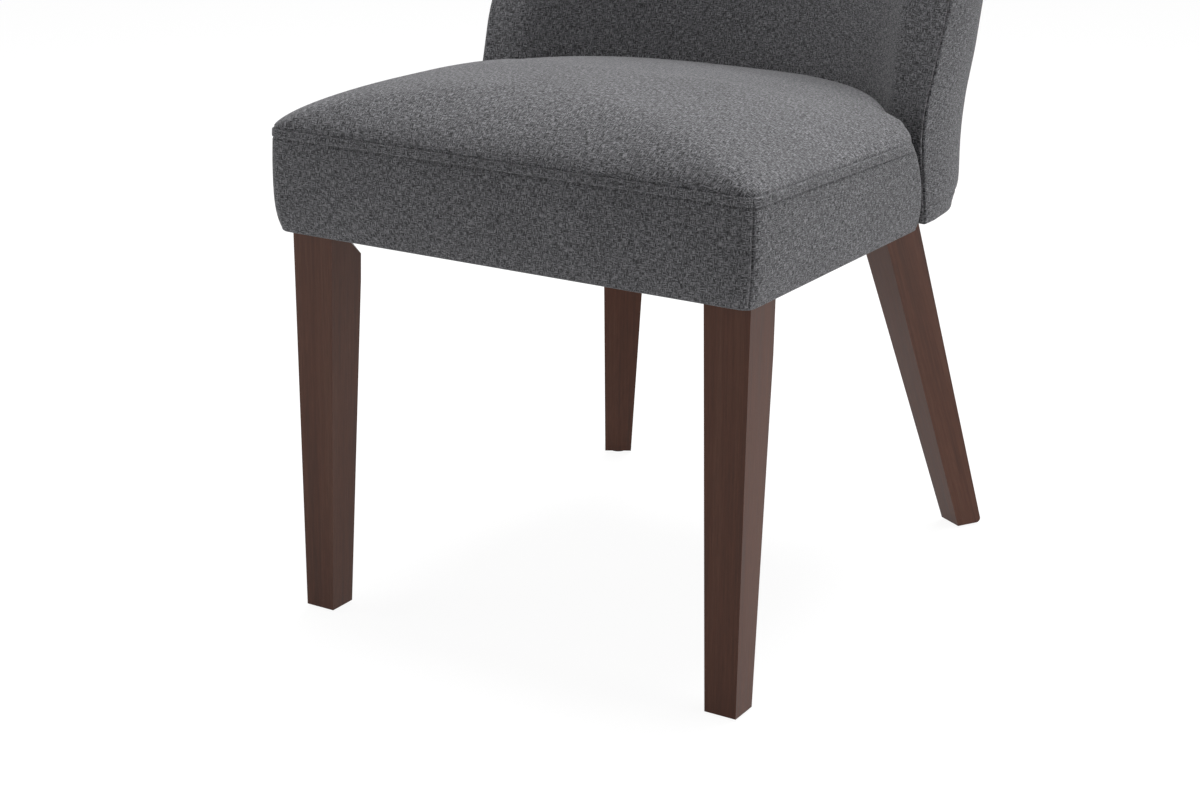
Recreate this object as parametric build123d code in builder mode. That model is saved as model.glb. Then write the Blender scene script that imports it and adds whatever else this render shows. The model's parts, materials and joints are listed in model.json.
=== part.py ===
from build123d import *
import os
from math import cos, degrees, radians, sin, sqrt, tan
from types import SimpleNamespace

os.makedirs("parts", exist_ok=True)

# Upholstered dining chair. Millimetres, +Z up, +Y towards the back, +X to the sitter's left.
# The origin is on the floor, under the middle of the chair's outline.

# Heights
overall_height = 890.0
hem_height = 355.0
boxing_height = 91.0
rail_height = 70.5
side_rail_rise = 1.5

# Covers and padding
cover = 1.5
soft_gap = 0.2
wadding = 8.0
hem_turn = 24.0
foam_lift = 0.3

# Seat upholstery
seat_half_width = 236.0
seat_flare = 4.0
seat_depth = 430.0
seat_draw_in = 5.5
seat_tilt = 1.6
seat_corner_radius = 9.0
seat_rear_radius = 60.0
slit = 8.3
boxing_middle_draw = 6.0
boxing_seam_draw = 28.0
tuck_clearance = 3.0
crown_rise = 51.7
crown_reach = 205.0
crown_front_share = 0.615
crown_rear_reach = 1.325
crown_rear_draw = 0.75
crown_corner_growth = 0.69
crown_corner_most = 0.9
crown_rear_round = 0.6

# Seat side by height: share of the height, share of the drawing in, share of the tilt
seat_side_shape = ((0.0, 1.0, 0.0), (0.1, 0.5, 0.0), (0.33, 0.1, 0.2), (0.66, 0.0, 0.7), (1.0, 0.15, 1.0))

# Seat crown by height: share of the rise, share of the reach
crown_shape = (
    (0.159, 0.029),
    (0.29, 0.073),
    (0.438, 0.141),
    (0.591, 0.239),
    (0.754, 0.385),
    (0.89, 0.58),
    (0.976, 0.83),
    (0.996, 1.0),
)

# Seat frame
frame_setback = 19.0
side_padding = 11.2
rail_thickness = 22.0
block_thickness = 30.0
block_width = 42.8
block_overlap = 49.0
rear_rail_set = 22.0
strap_width = 50.0
strap_thickness = 1.5
strap_shares = (0.28, 0.8)
crosswise_straps = 4
dust_cover = 0.8
dust_margin = 10.0

# Front legs
leg_top = 42.0
front_foot_width = 29.3
front_foot_depth = 28.4
front_foot_outer_taper = 3.3
front_leg_straight = 50.0
leg_chamfer = 16.0
leg_chamfer_drop = 26.5
leg_chamfer_runout = 14.7

# Rear legs
rear_leg_yaw = 31.2
rear_leg_inset = 109.1
rear_leg_set = 6.1
rear_leg_width = 47.7
rear_foot_inner_taper = 14.5
rear_foot_outer_taper = 5.3
rear_foot_depth = 28.0
rear_leg_reach = 122.0
rear_foot_round = 4.0
rear_head_drop = 2.0

# Foot glides
glide_radius = 9.0
glide_height = 2.0
glide_nail_radius = 1.25
glide_nail_length = 14.0

# Back
back_overhang = -1.5
back_thickness = 86.0
back_lift = 2.0
recline = 14.3
recline_drop = 2.0
inside_round = 11.1
wing_tip_low = 35.5
wing_tip_high = 43.5
wing_lean_rise = 8.0
wing_lean_height = 140.0
wing_bulge = 5.0
nose_relief = 0.25
wing_lead_hem = 3.0
wing_lead_low = 15.0
wing_lead_high = 4.0
back_side_straight = 39.2
back_side_least = 6.0
back_corner_turn = 60.0
top_corner_radius = 45.0
top_edge_radius = 22.0
top_cap_angles = (0, 20, 40, 58, 75, 90)
post_width = 18.5
post_setback = 5.0
board = 3.0
rail_depth = 20.0
back_rail_height = 22.0
lumbar_rise = 178.0
back_hem_turn = 16.0
back_strap_angles = (-24.0, -12.0, 0.0, 12.0, 24.0)

# Fasteners
bolt_radius = 4.0
bolt_clearance = 0.4
thread_clearance = 0.1
bolt_rises = (22.0, 52.0)
washer_radius = 10.0
washer_thickness = 1.8
nut_across_flats = 13.0
nut_height = 6.5
bolt_head_radius = 6.5
bolt_head_height = 5.0
key_across_flats = 5.0
key_depth = 3.0
hanger_in_leg = 24.0
hanger_spare = 5.0
leg_bolt_grip = 26.0
back_bolt_grip = 13.0
back_bolt_setback = 9.0
insert_radius = 6.0
insert_length = 15.0
screw_radius = 2.2
screw_head_radius = 4.2
screw_head_height = 2.6
screw_bite = 16.0
screw_rise = 37.0
dowel_radius = 5.0
dowel_half_length = 14.0
dowel_clearance = 0.1
staple_crown = 10.0
staple_wire = 1.0
staple_leg = 6.0
staple_pitch = 55.0
staple_slack = 0.1
front_staple_count = 6
rear_staple_count = 2
side_staple_count = 3
leg_clearance = 0.5

# Places worked out from the sizes above, with depths measured from the front of the seat
seam_height = hem_height + boxing_height
frame_base = hem_height + cover
frame_top = frame_base + rail_height
side_rail_top = frame_top + side_rail_rise
deck_height = side_rail_top + strap_thickness
recline_start = frame_top - recline_drop
back_base = deck_height + back_lift
wing_lean_start = back_base + wing_lean_rise
wing_lean_end = wing_lean_start + wing_lean_height
lumbar_height = back_base + lumbar_rise
bolt_heights = [hem_height + rise for rise in bolt_rises]
screw_height = hem_height + screw_rise
frame_half_width = seat_half_width - side_padding
back_half_width = seat_half_width + back_overhang
inside_radius = back_half_width + inside_round
wing_round = sqrt(inside_radius**2 - (back_half_width - wing_tip_low) ** 2)
wing_front = seat_depth - inside_radius + wing_round - wing_lead_hem / 2 - wing_bulge
boxing_length_hem = wing_front - slit
boxing_length_middle = boxing_length_hem - boxing_middle_draw
boxing_length_seam = boxing_length_hem - boxing_seam_draw
block_front = boxing_length_hem - block_overlap
back_side_length = wing_front + back_side_straight
rear_rail_depth = seat_depth + rear_rail_set
rear_leg_x = seat_half_width - rear_leg_inset
rear_leg_y = seat_depth - rear_leg_set
recline_slope = tan(radians(recline))
rear_depth = seat_depth + back_thickness
top_rear_drop = top_edge_radius * (1 - sin(radians(recline)))
top_rear_inset = top_edge_radius * (1 - cos(radians(recline)))
top_reach = (overall_height - top_rear_drop - recline_start) * recline_slope - top_rear_inset
seat_front = -(rear_depth + top_reach) / 2
inside_centre = seat_front + seat_depth - inside_radius
frame_front = seat_front + frame_setback
rail_inner = frame_half_width - rail_thickness
leg_inner = frame_half_width - leg_top
leg_rear = frame_front + leg_top
top_pad_base = overall_height - top_corner_radius
board_face = cover + wadding + 2 * soft_gap
post_outer = back_half_width - board_face - board
post_inner = post_outer - post_width
post_rear = seat_front + back_side_length
back_rail_face = board_face + board
webbing_face = back_rail_face + rail_depth
foam_back = webbing_face + strap_thickness + soft_gap
foam_front = cover + 4 * soft_gap
yaw = radians(rear_leg_yaw)
leg_out = Vector(sin(yaw), cos(yaw), 0)
leg_along = Vector(cos(yaw), -sin(yaw), 0)
leg_face = Vector(rear_leg_x, seat_front + rear_leg_y, 0)
leg_face_distance = leg_out.dot(leg_face)
side_keep = 2 * back_half_width
tuck_x = back_half_width - wing_tip_low - tuck_clearance
recline_direction = (0, sin(radians(recline)), cos(radians(recline)))


def mirrored(point):
    return (-point[0], point[1])


def finish(builder, label):
    """Names a finished piece and writes it."""
    builder.part.label = label
    export_step(builder.part, f"parts/{label}.step")


# Shape of the seat: closed outlines at rising levels, rounded at the corners
def seat_section(plane, half_front, front, rear, front_radius, rear_radius):
    half_rear = half_front + seat_flare * (rear - front) / boxing_length_hem
    with BuildSketch(plane) as section:
        with BuildLine():
            Polyline(
                (-half_front, front),
                (half_front, front),
                (half_rear, rear),
                (-half_rear, rear),
                close=True,
            )
        make_face()
        fillet(section.vertices().sort_by(Axis.Y)[:2], radius=front_radius)
        fillet(section.vertices().sort_by(Axis.Y)[-2:], radius=rear_radius)
    return section.sketch


def seat_plane(height, tilt):
    angle = radians(tilt)
    return Plane(origin=(0, seat_front, height), x_dir=(1, 0, 0), z_dir=(0, sin(angle), cos(angle)))


def seat_side_sections(inset):
    """Outlines from the hem to the seam, drawn in at the hem and full at mid height."""
    rise = seam_height - hem_height
    sections = []
    for share, draw, tilt_share in seat_side_shape:
        plane = seat_plane(hem_height + share * rise, tilt_share * seat_tilt)
        step = inset + draw * seat_draw_in
        half = seat_half_width - step
        corner = seat_corner_radius - inset
        sections.append(seat_section(plane, half, step, rear_depth, corner, seat_rear_radius))
    return sections


def seat_crown_sections(inset):
    """Outlines from the seam to the top of the crown, shrinking like contour lines."""
    sections = [seat_side_sections(inset)[-1]]
    for share, reach_share in crown_shape:
        plane = seat_plane(seam_height + share * (crown_rise - inset), seat_tilt)
        step = inset + crown_reach * reach_share
        half = seat_half_width - step
        front = inset + crown_reach * crown_front_share * reach_share
        rear = seat_depth * (crown_rear_reach - crown_rear_draw * share)
        corner = min(seat_corner_radius + crown_corner_growth * step, crown_corner_most * half)
        sections.append(seat_section(plane, half, front, rear, corner, crown_rear_round * half))
    return sections


def seat_rear_outline():
    """The space in front of the back: tucked in behind the boxings, round against the inside back."""
    radius = inside_radius - soft_gap
    round_end = (tuck_x, inside_centre + sqrt(radius**2 - tuck_x**2))
    boxing_y = seat_front + boxing_length_seam - recline_shift(seam_height)
    tuck = (tuck_x, back_level(recline_start).nose[1] - tuck_clearance)
    boxing_end = (seat_half_width + seat_flare, boxing_y)
    with BuildSketch(Plane.XY.offset(recline_start)) as outline:
        with BuildLine():
            Polyline(
                mirrored(round_end),
                mirrored(tuck),
                mirrored(boxing_end),
                (-side_keep, boxing_y),
                (-side_keep, 2 * seat_front),
                (side_keep, 2 * seat_front),
                (side_keep, boxing_y),
                boxing_end,
                tuck,
                round_end,
            )
            ThreePointArc(round_end, (0, inside_centre + radius), mirrored(round_end))
        make_face()
    return outline.sketch


def boxing_profile():
    """Side view of the seat in front of the curved rear edge of the side boxings."""
    low = hem_height - hem_turn
    high = seam_height + 2 * crown_rise
    hem_end = (seat_front + boxing_length_hem, hem_height)
    middle = (seat_front + boxing_length_middle, (hem_height + seam_height) / 2)
    seam_end = (seat_front + boxing_length_seam, seam_height)
    with BuildSketch(Plane.YZ) as profile:
        with BuildLine():
            ThreePointArc(hem_end, middle, seam_end)
            Polyline(
                seam_end,
                (seam_end[0], high),
                (2 * seat_front, high),
                (2 * seat_front, low),
                (hem_end[0], low),
                hem_end,
            )
        make_face()
    return profile.sketch


# Shape of the back: outlines at rising levels, leaning back, with the wings' edges leaning more
def recline_shift(height):
    return max(0.0, height - recline_start) * recline_slope


def lean_share(height):
    return min(1.0, max(0.0, (height - wing_lean_start) / (wing_lean_end - wing_lean_start)))


def wing_lead(height):
    """How far the wing's seam lies in front of the end of the inside curve."""
    risen = min(1.0, max(0.0, (height - recline_start) / (wing_lean_start - recline_start)))
    low = wing_lead_hem + (wing_lead_low - wing_lead_hem) * risen
    return low + (wing_lead_high - wing_lead_low) * lean_share(height)


def top_inset(height, radius):
    drop = max(0.0, radius - (overall_height - height))
    return radius - sqrt(radius**2 - drop**2)


def back_level(height, inner=0.0, outer=0.0):
    """Points of the back's outline at a height, moved in from its inside and outside faces."""
    edge = top_inset(height, top_edge_radius)
    half = back_half_width - top_inset(height, top_corner_radius)
    shift = recline_shift(height)
    radius = inside_radius + edge
    tip_x = half - wing_tip_low - (wing_tip_high - wing_tip_low) * lean_share(height)
    tip_y = sqrt(radius**2 - tip_x**2)
    grow = (radius + inner) / radius
    centre = inside_centre + shift
    side_x = half - outer
    lead = wing_lead(height)
    nose_y = centre + tip_y - lead / 2 - wing_bulge + inner + nose_relief * (outer - inner)
    seam_y = centre + tip_y - lead + inner
    side_y = max(seat_front + back_side_length + shift, seam_y + back_side_least)
    rear_y = seat_front + rear_depth + shift - edge - outer
    turn = radians(back_corner_turn)
    ratio = (1 - sin(turn)) / cos(turn)
    corner_r = (rear_y - side_y - ratio * side_x) / (1 - ratio)
    corner_x = side_x - corner_r
    return SimpleNamespace(
        height=height,
        tip=(tip_x * grow, centre + tip_y * grow),
        nose=((tip_x * grow + side_x) / 2, nose_y),
        middle=(0, centre + radius + inner),
        seam=(side_x, seam_y),
        side=(side_x, side_y),
        corner_centre=(corner_x, side_y),
        corner_r=corner_r,
        corner_mid=(corner_x + corner_r * cos(turn / 2), side_y + corner_r * sin(turn / 2)),
        corner_end=(corner_x + corner_r * cos(turn), side_y + corner_r * sin(turn)),
        rear=(0, rear_y),
    )


def nose_arcs(level):
    ThreePointArc(level.tip, level.nose, level.seam)
    ThreePointArc(mirrored(level.tip), mirrored(level.nose), mirrored(level.seam))


def inside_run(level):
    """The inside back from one wing's seam, round its nose, to the other wing's seam."""
    nose_arcs(level)
    ThreePointArc(level.tip, level.middle, mirrored(level.tip))


def outside_run(level, start_y=None):
    """The outside back from one wing to the other, from the seam or from another start."""
    if start_y is not None:
        level.seam = (level.seam[0], start_y)
    if level.side[1] > level.seam[1]:
        Line(level.seam, level.side)
        Line(mirrored(level.seam), mirrored(level.side))
    ThreePointArc(level.side, level.corner_mid, level.corner_end)
    ThreePointArc(mirrored(level.side), mirrored(level.corner_mid), mirrored(level.corner_end))
    ThreePointArc(level.corner_end, level.rear, mirrored(level.corner_end))


def joined_ends(first, second):
    Line(first, second)
    Line(mirrored(first), mirrored(second))


def full_section(height, inset):
    level = back_level(height, inset, inset)
    with BuildSketch(Plane.XY.offset(height)) as section:
        with BuildLine():
            inside_run(level)
            outside_run(level)
        make_face()
    return section.sketch


def inside_strip(height, near, far):
    first = back_level(height, near, near)
    second = back_level(height, far, far)
    with BuildSketch(Plane.XY.offset(height)) as section:
        with BuildLine():
            inside_run(first)
            inside_run(second)
            joined_ends(first.seam, second.seam)
        make_face()
    return section.sketch


def outside_strip(height, near, far, start_y=None):
    first = back_level(height, near, near)
    second = back_level(height, far, far)
    with BuildSketch(Plane.XY.offset(height)) as section:
        with BuildLine():
            outside_run(first, start_y)
            outside_run(second, start_y)
            joined_ends(first.seam, second.seam)
        make_face()
    return section.sketch


def wrapped_strip(height, near, far):
    """The outside strip carried on round the noses of the wings, as it is beside the seat."""
    first = back_level(height, near, near)
    second = back_level(height, far, far)
    with BuildSketch(Plane.XY.offset(height)) as section:
        with BuildLine():
            for level in (first, second):
                nose_arcs(level)
                outside_run(level)
            joined_ends(first.tip, second.tip)
        make_face()
    return section.sketch


def post_front(height):
    return back_level(height).tip[1] + post_setback


def foam_section(height):
    """Inside foam: behind the inside cover, around the posts, in front of the webbing."""
    front = back_level(height, foam_front, board_face)
    rear = back_level(height, foam_front, foam_back)
    face = post_front(height) - soft_gap
    with BuildSketch(Plane.XY.offset(height)) as section:
        with BuildLine():
            inside_run(front)
            joined_ends(front.seam, (front.seam[0], face))
            joined_ends((front.seam[0], face), (rear.side[0], face))
            outside_run(rear, face)
        make_face()
    return section.sketch


def wing_pad_section(height):
    """Padding in front of a post, below the seat."""
    level = back_level(height, foam_front, board_face)
    face = post_front(height) - soft_gap
    with BuildSketch(Plane.XY.offset(height)) as section:
        with BuildLine():
            ThreePointArc(level.tip, level.nose, level.seam)
            Line(level.seam, (level.seam[0], face))
            Line((level.seam[0], face), (level.tip[0], face))
            Line((level.tip[0], face), level.tip)
        make_face()
    return section.sketch


pad_levels = (frame_base, recline_start, back_base - foam_lift)
back_levels = (back_base, wing_lean_start, wing_lean_end, top_pad_base)
shell_levels = (frame_base, recline_start, back_base, wing_lean_start, wing_lean_end, top_pad_base)
cap_drops = [top_corner_radius * (1 - sin(radians(angle))) for angle in top_cap_angles]
cap_levels = [overall_height - drop for drop in cap_drops]


# Places of the fasteners, each a plane whose Z axis runs the way the fastener points
def both_sides(plane):
    origin = plane.origin
    axis = plane.z_dir
    other = Plane(origin=(-origin.X, origin.Y, origin.Z), z_dir=(-axis.X, axis.Y, axis.Z))
    return [plane, other]


def placed(x, y, heights, axis):
    planes = []
    for height in heights:
        planes += both_sides(Plane(origin=(x, y, height), z_dir=axis))
    return planes


chamfer_x = leg_inner + leg_chamfer / 2
chamfer_y = leg_rear - leg_chamfer / 2
hanger_planes = placed(chamfer_x, chamfer_y, bolt_heights, (-1, 1, 0))
leg_bolt_planes = placed(leg_face.X, leg_face.Y, bolt_heights, leg_out)
back_bolt_y = post_front(frame_base) + back_bolt_setback
back_bolt_planes = placed(post_inner, back_bolt_y, bolt_heights, (1, 0, 0))
block_inner = rail_inner - block_width

block_gap = leg_clearance * sqrt(2)
block_face = chamfer_x - chamfer_y - block_gap
block_back = block_face - block_thickness * sqrt(2)
front_block_outline = (
    (block_face + frame_front + rail_thickness, frame_front + rail_thickness),
    (rail_inner, rail_inner - block_face),
    (rail_inner, rail_inner - block_back),
    (block_back + frame_front + rail_thickness, frame_front + rail_thickness),
)

rear_rail_rear = seat_front + rear_rail_depth
rear_rail_front = rear_rail_rear - rail_thickness


def on_leg_face(distance, x=None, y=None):
    """The point of a line parallel to the rear leg's face, at a given x or a given y."""
    reach = leg_face_distance - distance
    if x is None:
        return ((reach - leg_out.Y * y) / leg_out.X, y)
    return (x, (reach - leg_out.X * x) / leg_out.Y)


mitre_outer = on_leg_face(0, y=rear_rail_rear)
mitre_inner = on_leg_face(rail_thickness, y=rear_rail_front)
diagonal_outer = on_leg_face(0, x=post_inner)
diagonal_inner = on_leg_face(rail_thickness, x=post_inner)
block_corner = on_leg_face(rail_thickness, x=block_inner)
side_rail_end = seat_front + boxing_length_hem
rear_block_outline = (
    (rail_inner, seat_front + block_front),
    (rail_inner, side_rail_end),
    (tuck_x, side_rail_end),
    (tuck_x, post_front(side_rail_top)),
    (post_inner, post_front(side_rail_top)),
    diagonal_inner,
    block_corner,
    (block_inner, seat_front + block_front),
)

front_screw_x = (front_block_outline[0][0] + front_block_outline[3][0]) / 2
front_screw_y = (front_block_outline[1][1] + front_block_outline[2][1]) / 2
front_screws = placed(rail_inner, front_screw_y, (screw_height,), (1, 0, 0))
front_screws += placed(front_screw_x, frame_front + rail_thickness, (screw_height,), (0, -1, 0))
front_screw_grip = block_thickness / sqrt(2)
rear_screw_y = (seat_front + block_front + side_rail_end) / 2
rear_screws = placed(rail_inner, rear_screw_y, bolt_heights, (1, 0, 0))

mitre_normal = (mitre_outer[1] - mitre_inner[1], mitre_inner[0] - mitre_outer[0], 0)
mitre_x = (mitre_outer[0] + mitre_inner[0]) / 2
mitre_y = (mitre_outer[1] + mitre_inner[1]) / 2
joint_x = (diagonal_inner[0] + block_corner[0]) / 2
joint_y = (diagonal_inner[1] + block_corner[1]) / 2
frame_dowel_planes = placed(mitre_x, mitre_y, bolt_heights, mitre_normal)
frame_dowel_planes += placed(joint_x, joint_y, (screw_height,), leg_out)

back_rail_bases = (back_base, lumbar_height, top_pad_base - back_rail_height - soft_gap)
back_dowel_x = post_outer - rail_depth / 2
back_dowel_planes = []
for rail_base in back_rail_bases:
    middle_height = rail_base + back_rail_height / 2
    middle_y = post_rear + recline_shift(middle_height)
    lean_axis = (0, cos(radians(recline)), -sin(radians(recline)))
    back_dowel_planes += placed(back_dowel_x, middle_y, (middle_height,), lean_axis)

dust_level = back_level(hem_height, dust_margin, dust_margin)
dust_edge = (
    dust_level.seam,
    (frame_half_width - dust_margin, dust_level.seam[1]),
    (frame_half_width - dust_margin, leg_rear + leg_clearance),
    (leg_inner - leg_clearance, leg_rear + leg_clearance),
    (leg_inner - leg_clearance, frame_front + dust_margin),
)
staple_inset = rail_thickness / 2 + dust_margin / 2
staple_height = hem_height - dust_cover
staple_rows = (
    (front_staple_count, frame_front + staple_inset),
    (rear_staple_count, rear_rail_rear - staple_inset),
)
staple_places = []
for count, y in staple_rows:
    for index in range(count):
        x = (index - (count - 1) / 2) * staple_pitch
        staple_places.append(Location((x, y, staple_height), (0, 0, 0)))
for index in range(side_staple_count):
    for x in (staple_inset - frame_half_width, frame_half_width - staple_inset):
        y = leg_rear + staple_pitch * (index + 0.5)
        staple_places.append(Location((x, y, staple_height), (0, 0, 90)))


def drilled(planes, radius, start, end):
    """Round holes along the fasteners, from one distance to another."""
    for plane in planes:
        with Locations(plane.offset(start)):
            Cylinder(radius, end - start, align=(Align.CENTER, Align.CENTER, Align.MIN), mode=Mode.SUBTRACT)


def rods(planes, radius, start, end):
    for plane in planes:
        with Locations(plane.offset(start)):
            Cylinder(radius, end - start, align=(Align.CENTER, Align.CENTER, Align.MIN))


def stapled():
    """Slots for the staples' legs, from the dust cover up into the rails."""
    reach = (staple_crown - staple_wire) / 2
    size = staple_wire + 2 * staple_slack
    with Locations(*staple_places):
        with Locations((-reach, 0, 0), (reach, 0, 0)):
            Box(size, size, 2 * staple_leg + 2 * staple_slack, mode=Mode.SUBTRACT)


# Front legs: square heads between the rails, cut flat at the inner corner, tapering to the foot
with BuildPart() as front_left_leg:
    levels = (
        (glide_height, front_foot_width, front_foot_depth, front_foot_outer_taper),
        (hem_height - front_leg_straight, None, leg_top, None),
        (hem_height, leg_top, leg_top, 0.0),
    )
    straight_share = front_leg_straight / (hem_height - glide_height)
    sections = []
    for height, width, depth, outer_taper in levels:
        if width is None:
            width = leg_top - straight_share * (leg_top - front_foot_width)
            outer_taper = straight_share * front_foot_outer_taper
        with BuildSketch(Plane.XY.offset(height)) as section:
            with Locations((frame_half_width - outer_taper, frame_front)):
                Rectangle(width, depth, align=(Align.MAX, Align.MIN))
        sections.append(section.sketch)
    loft(sections, ruled=True)
    with BuildSketch(Plane.XY.offset(hem_height)):
        with Locations((frame_half_width, frame_front)):
            Rectangle(leg_top, leg_top, align=(Align.MAX, Align.MIN))
    extrude(amount=frame_top - hem_height)
    cut_base = hem_height - leg_chamfer_drop
    chamfer_plane = Plane(origin=(leg_inner, leg_rear, 0), x_dir=(1, -1, 0), z_dir=(-1, -1, 0))
    with BuildSketch(chamfer_plane):
        with BuildLine():
            deep = leg_chamfer / sqrt(2)
            Polyline(
                (-deep, cut_base),
                (0, cut_base),
                (deep, cut_base + leg_chamfer_runout),
                (deep, frame_top + leg_chamfer),
                (-deep, frame_top + leg_chamfer),
                close=True,
            )
        make_face()
    extrude(amount=leg_top, both=True, mode=Mode.SUBTRACT)
    drilled(hanger_planes, bolt_radius + thread_clearance, -hanger_in_leg, leg_top)
    foot_middle = (
        frame_half_width - front_foot_outer_taper - front_foot_width / 2,
        frame_front + front_foot_depth / 2,
    )
    with Locations((*foot_middle, glide_height)):
        Cylinder(
            glide_nail_radius + thread_clearance,
            glide_nail_length,
            align=(Align.CENTER, Align.CENTER, Align.MIN),
            mode=Mode.SUBTRACT,
        )
finish(front_left_leg, "front_left_leg")

with BuildPart() as front_right_leg:
    mirror(front_left_leg.part, about=Plane.YZ)
finish(front_right_leg, "front_right_leg")


# Rear legs: turned outwards, splayed back from the hem, with upright heads behind the diagonal rails
def rear_leg_section(height, first, last, front, depth):
    corners = []
    for along, out in ((first, front), (last, front), (last, front + depth), (first, front + depth)):
        corner = leg_face + leg_along * along + leg_out * out
        corners.append((corner.X, corner.Y))
    with BuildSketch(Plane.XY.offset(height)) as section:
        with BuildLine():
            Polyline(*corners, close=True)
        make_face()
    return section.sketch


half_width = rear_leg_width / 2
foot_first = rear_foot_inner_taper - half_width
foot_last = half_width - rear_foot_outer_taper
with BuildPart() as rear_left_leg:
    head = rear_leg_section(hem_height, -half_width, half_width, 0, leg_top)
    foot = rear_leg_section(glide_height, foot_first, foot_last, rear_leg_reach, rear_foot_depth)
    loft([foot, head], ruled=True)
    foot_edges = rear_left_leg.edges().group_by(Axis.Z)[0]
    fillet(foot_edges.sort_by(lambda edge: leg_out.dot(edge.center()))[-1], radius=rear_foot_round)
    extrude(head, amount=frame_top - rear_head_drop - hem_height)
    drilled(leg_bolt_planes, insert_radius + thread_clearance, -leg_top, insert_length)
    drilled(leg_bolt_planes, bolt_radius + bolt_clearance, 0, leg_bolt_grip + hanger_spare)
    rear_foot = leg_face + leg_along * ((foot_first + foot_last) / 2)
    rear_foot += leg_out * (rear_leg_reach + (rear_foot_depth - rear_foot_round) / 2)
    rear_foot_middle = (rear_foot.X, rear_foot.Y)
    with Locations((*rear_foot_middle, glide_height)):
        Cylinder(
            glide_nail_radius + thread_clearance,
            glide_nail_length,
            align=(Align.CENTER, Align.CENTER, Align.MIN),
            mode=Mode.SUBTRACT,
        )
finish(rear_left_leg, "rear_left_leg")

with BuildPart() as rear_right_leg:
    mirror(rear_left_leg.part, about=Plane.YZ)
finish(rear_right_leg, "rear_right_leg")

# Foot glides: a plastic disc and its nail under each leg
feet = [foot_middle, mirrored(foot_middle), rear_foot_middle, mirrored(rear_foot_middle)]
with BuildPart() as foot_glides:
    with Locations(*[(x, y, 0) for x, y in feet]):
        Cylinder(glide_radius, glide_height, align=(Align.CENTER, Align.CENTER, Align.MIN))
        nail_top = glide_height + glide_nail_length - thread_clearance
        Cylinder(glide_nail_radius, nail_top, align=(Align.CENTER, Align.CENTER, Align.MIN))
finish(foot_glides, "foot_glides")


# Seat frame
def plank(outline, top):
    with BuildSketch(Plane.XY.offset(frame_base)) as section:
        with BuildLine():
            Polyline(*outline, close=True)
        make_face()
    extrude(section.sketch, amount=top - frame_base)


with BuildPart() as front_rail:
    with Locations((0, frame_front, frame_base)):
        Box(2 * leg_inner, rail_thickness, rail_height, align=(Align.CENTER, Align.MIN, Align.MIN))
    drilled(front_screws, screw_radius + thread_clearance, 0, screw_bite + screw_radius)
    stapled()
finish(front_rail, "front_rail")

with BuildPart() as left_side_rail:
    with Locations((rail_inner, leg_rear, frame_base)):
        Box(
            rail_thickness,
            side_rail_end - leg_rear,
            rail_height + side_rail_rise,
            align=(Align.MIN, Align.MIN, Align.MIN),
        )
    drilled(front_screws + rear_screws, screw_radius + thread_clearance, 0, screw_bite + screw_radius)
    stapled()
finish(left_side_rail, "left_side_rail")

with BuildPart() as right_side_rail:
    mirror(left_side_rail.part, about=Plane.YZ)
finish(right_side_rail, "right_side_rail")

with BuildPart() as rear_rail:
    plank((mitre_outer, mirrored(mitre_outer), mirrored(mitre_inner), mitre_inner), frame_top)
    drilled(frame_dowel_planes, dowel_radius + dowel_clearance, -dowel_half_length, dowel_half_length)
    stapled()
finish(rear_rail, "rear_rail")

with BuildPart() as rear_left_diagonal_rail:
    plank((mitre_outer, diagonal_outer, diagonal_inner, mitre_inner), frame_top)
    drilled(frame_dowel_planes, dowel_radius + dowel_clearance, -dowel_half_length, dowel_half_length)
    drilled(leg_bolt_planes, bolt_radius + bolt_clearance, -2 * rail_thickness, leg_top)
finish(rear_left_diagonal_rail, "rear_left_diagonal_rail")

with BuildPart() as rear_right_diagonal_rail:
    mirror(rear_left_diagonal_rail.part, about=Plane.YZ)
finish(rear_right_diagonal_rail, "rear_right_diagonal_rail")

with BuildPart() as front_left_corner_block:
    plank(front_block_outline, frame_top)
    drilled(hanger_planes, bolt_radius + bolt_clearance, 0, 2 * block_thickness)
    drilled(front_screws, screw_radius + thread_clearance, -block_thickness, screw_bite)
    drilled(front_screws, screw_head_radius + bolt_clearance, -2 * block_thickness, -front_screw_grip / 2)
finish(front_left_corner_block, "front_left_corner_block")

with BuildPart() as front_right_corner_block:
    mirror(front_left_corner_block.part, about=Plane.YZ)
finish(front_right_corner_block, "front_right_corner_block")

with BuildPart() as rear_left_corner_block:
    plank(rear_block_outline, side_rail_top)
    drilled(frame_dowel_planes, dowel_radius + dowel_clearance, -dowel_half_length, dowel_half_length)
    drilled(rear_screws, screw_radius + thread_clearance, -block_width, screw_bite)
    drilled(rear_screws, screw_head_radius + bolt_clearance, -2 * block_width, -block_width / 2)
    drilled(back_bolt_planes, bolt_radius + bolt_clearance, -2 * block_width, screw_bite)
finish(rear_left_corner_block, "rear_left_corner_block")

with BuildPart() as rear_right_corner_block:
    mirror(rear_left_corner_block.part, about=Plane.YZ)
finish(rear_right_corner_block, "rear_right_corner_block")


# Fasteners of the seat frame and the legs
def screws(planes, grip):
    rods(planes, screw_radius, -grip, screw_bite)
    rods(planes, screw_head_radius, -grip - screw_head_height, -grip)


def washers(planes, start):
    rods(planes, washer_radius, start, start + washer_thickness)
    drilled(planes, bolt_radius + bolt_clearance, start, start + washer_thickness)


def cap_bolts(planes, head_face, tip):
    """Bolts whose heads, with a hexagon socket, bear on the washers behind them."""
    rods(planes, bolt_radius, head_face, tip)
    rods(planes, bolt_head_radius, head_face - bolt_head_height, head_face)
    for plane in planes:
        with BuildSketch(plane.offset(head_face - bolt_head_height)) as socket:
            RegularPolygon(key_across_flats / 2, 6, major_radius=False)
        extrude(socket.sketch, amount=key_depth, mode=Mode.SUBTRACT)


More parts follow.
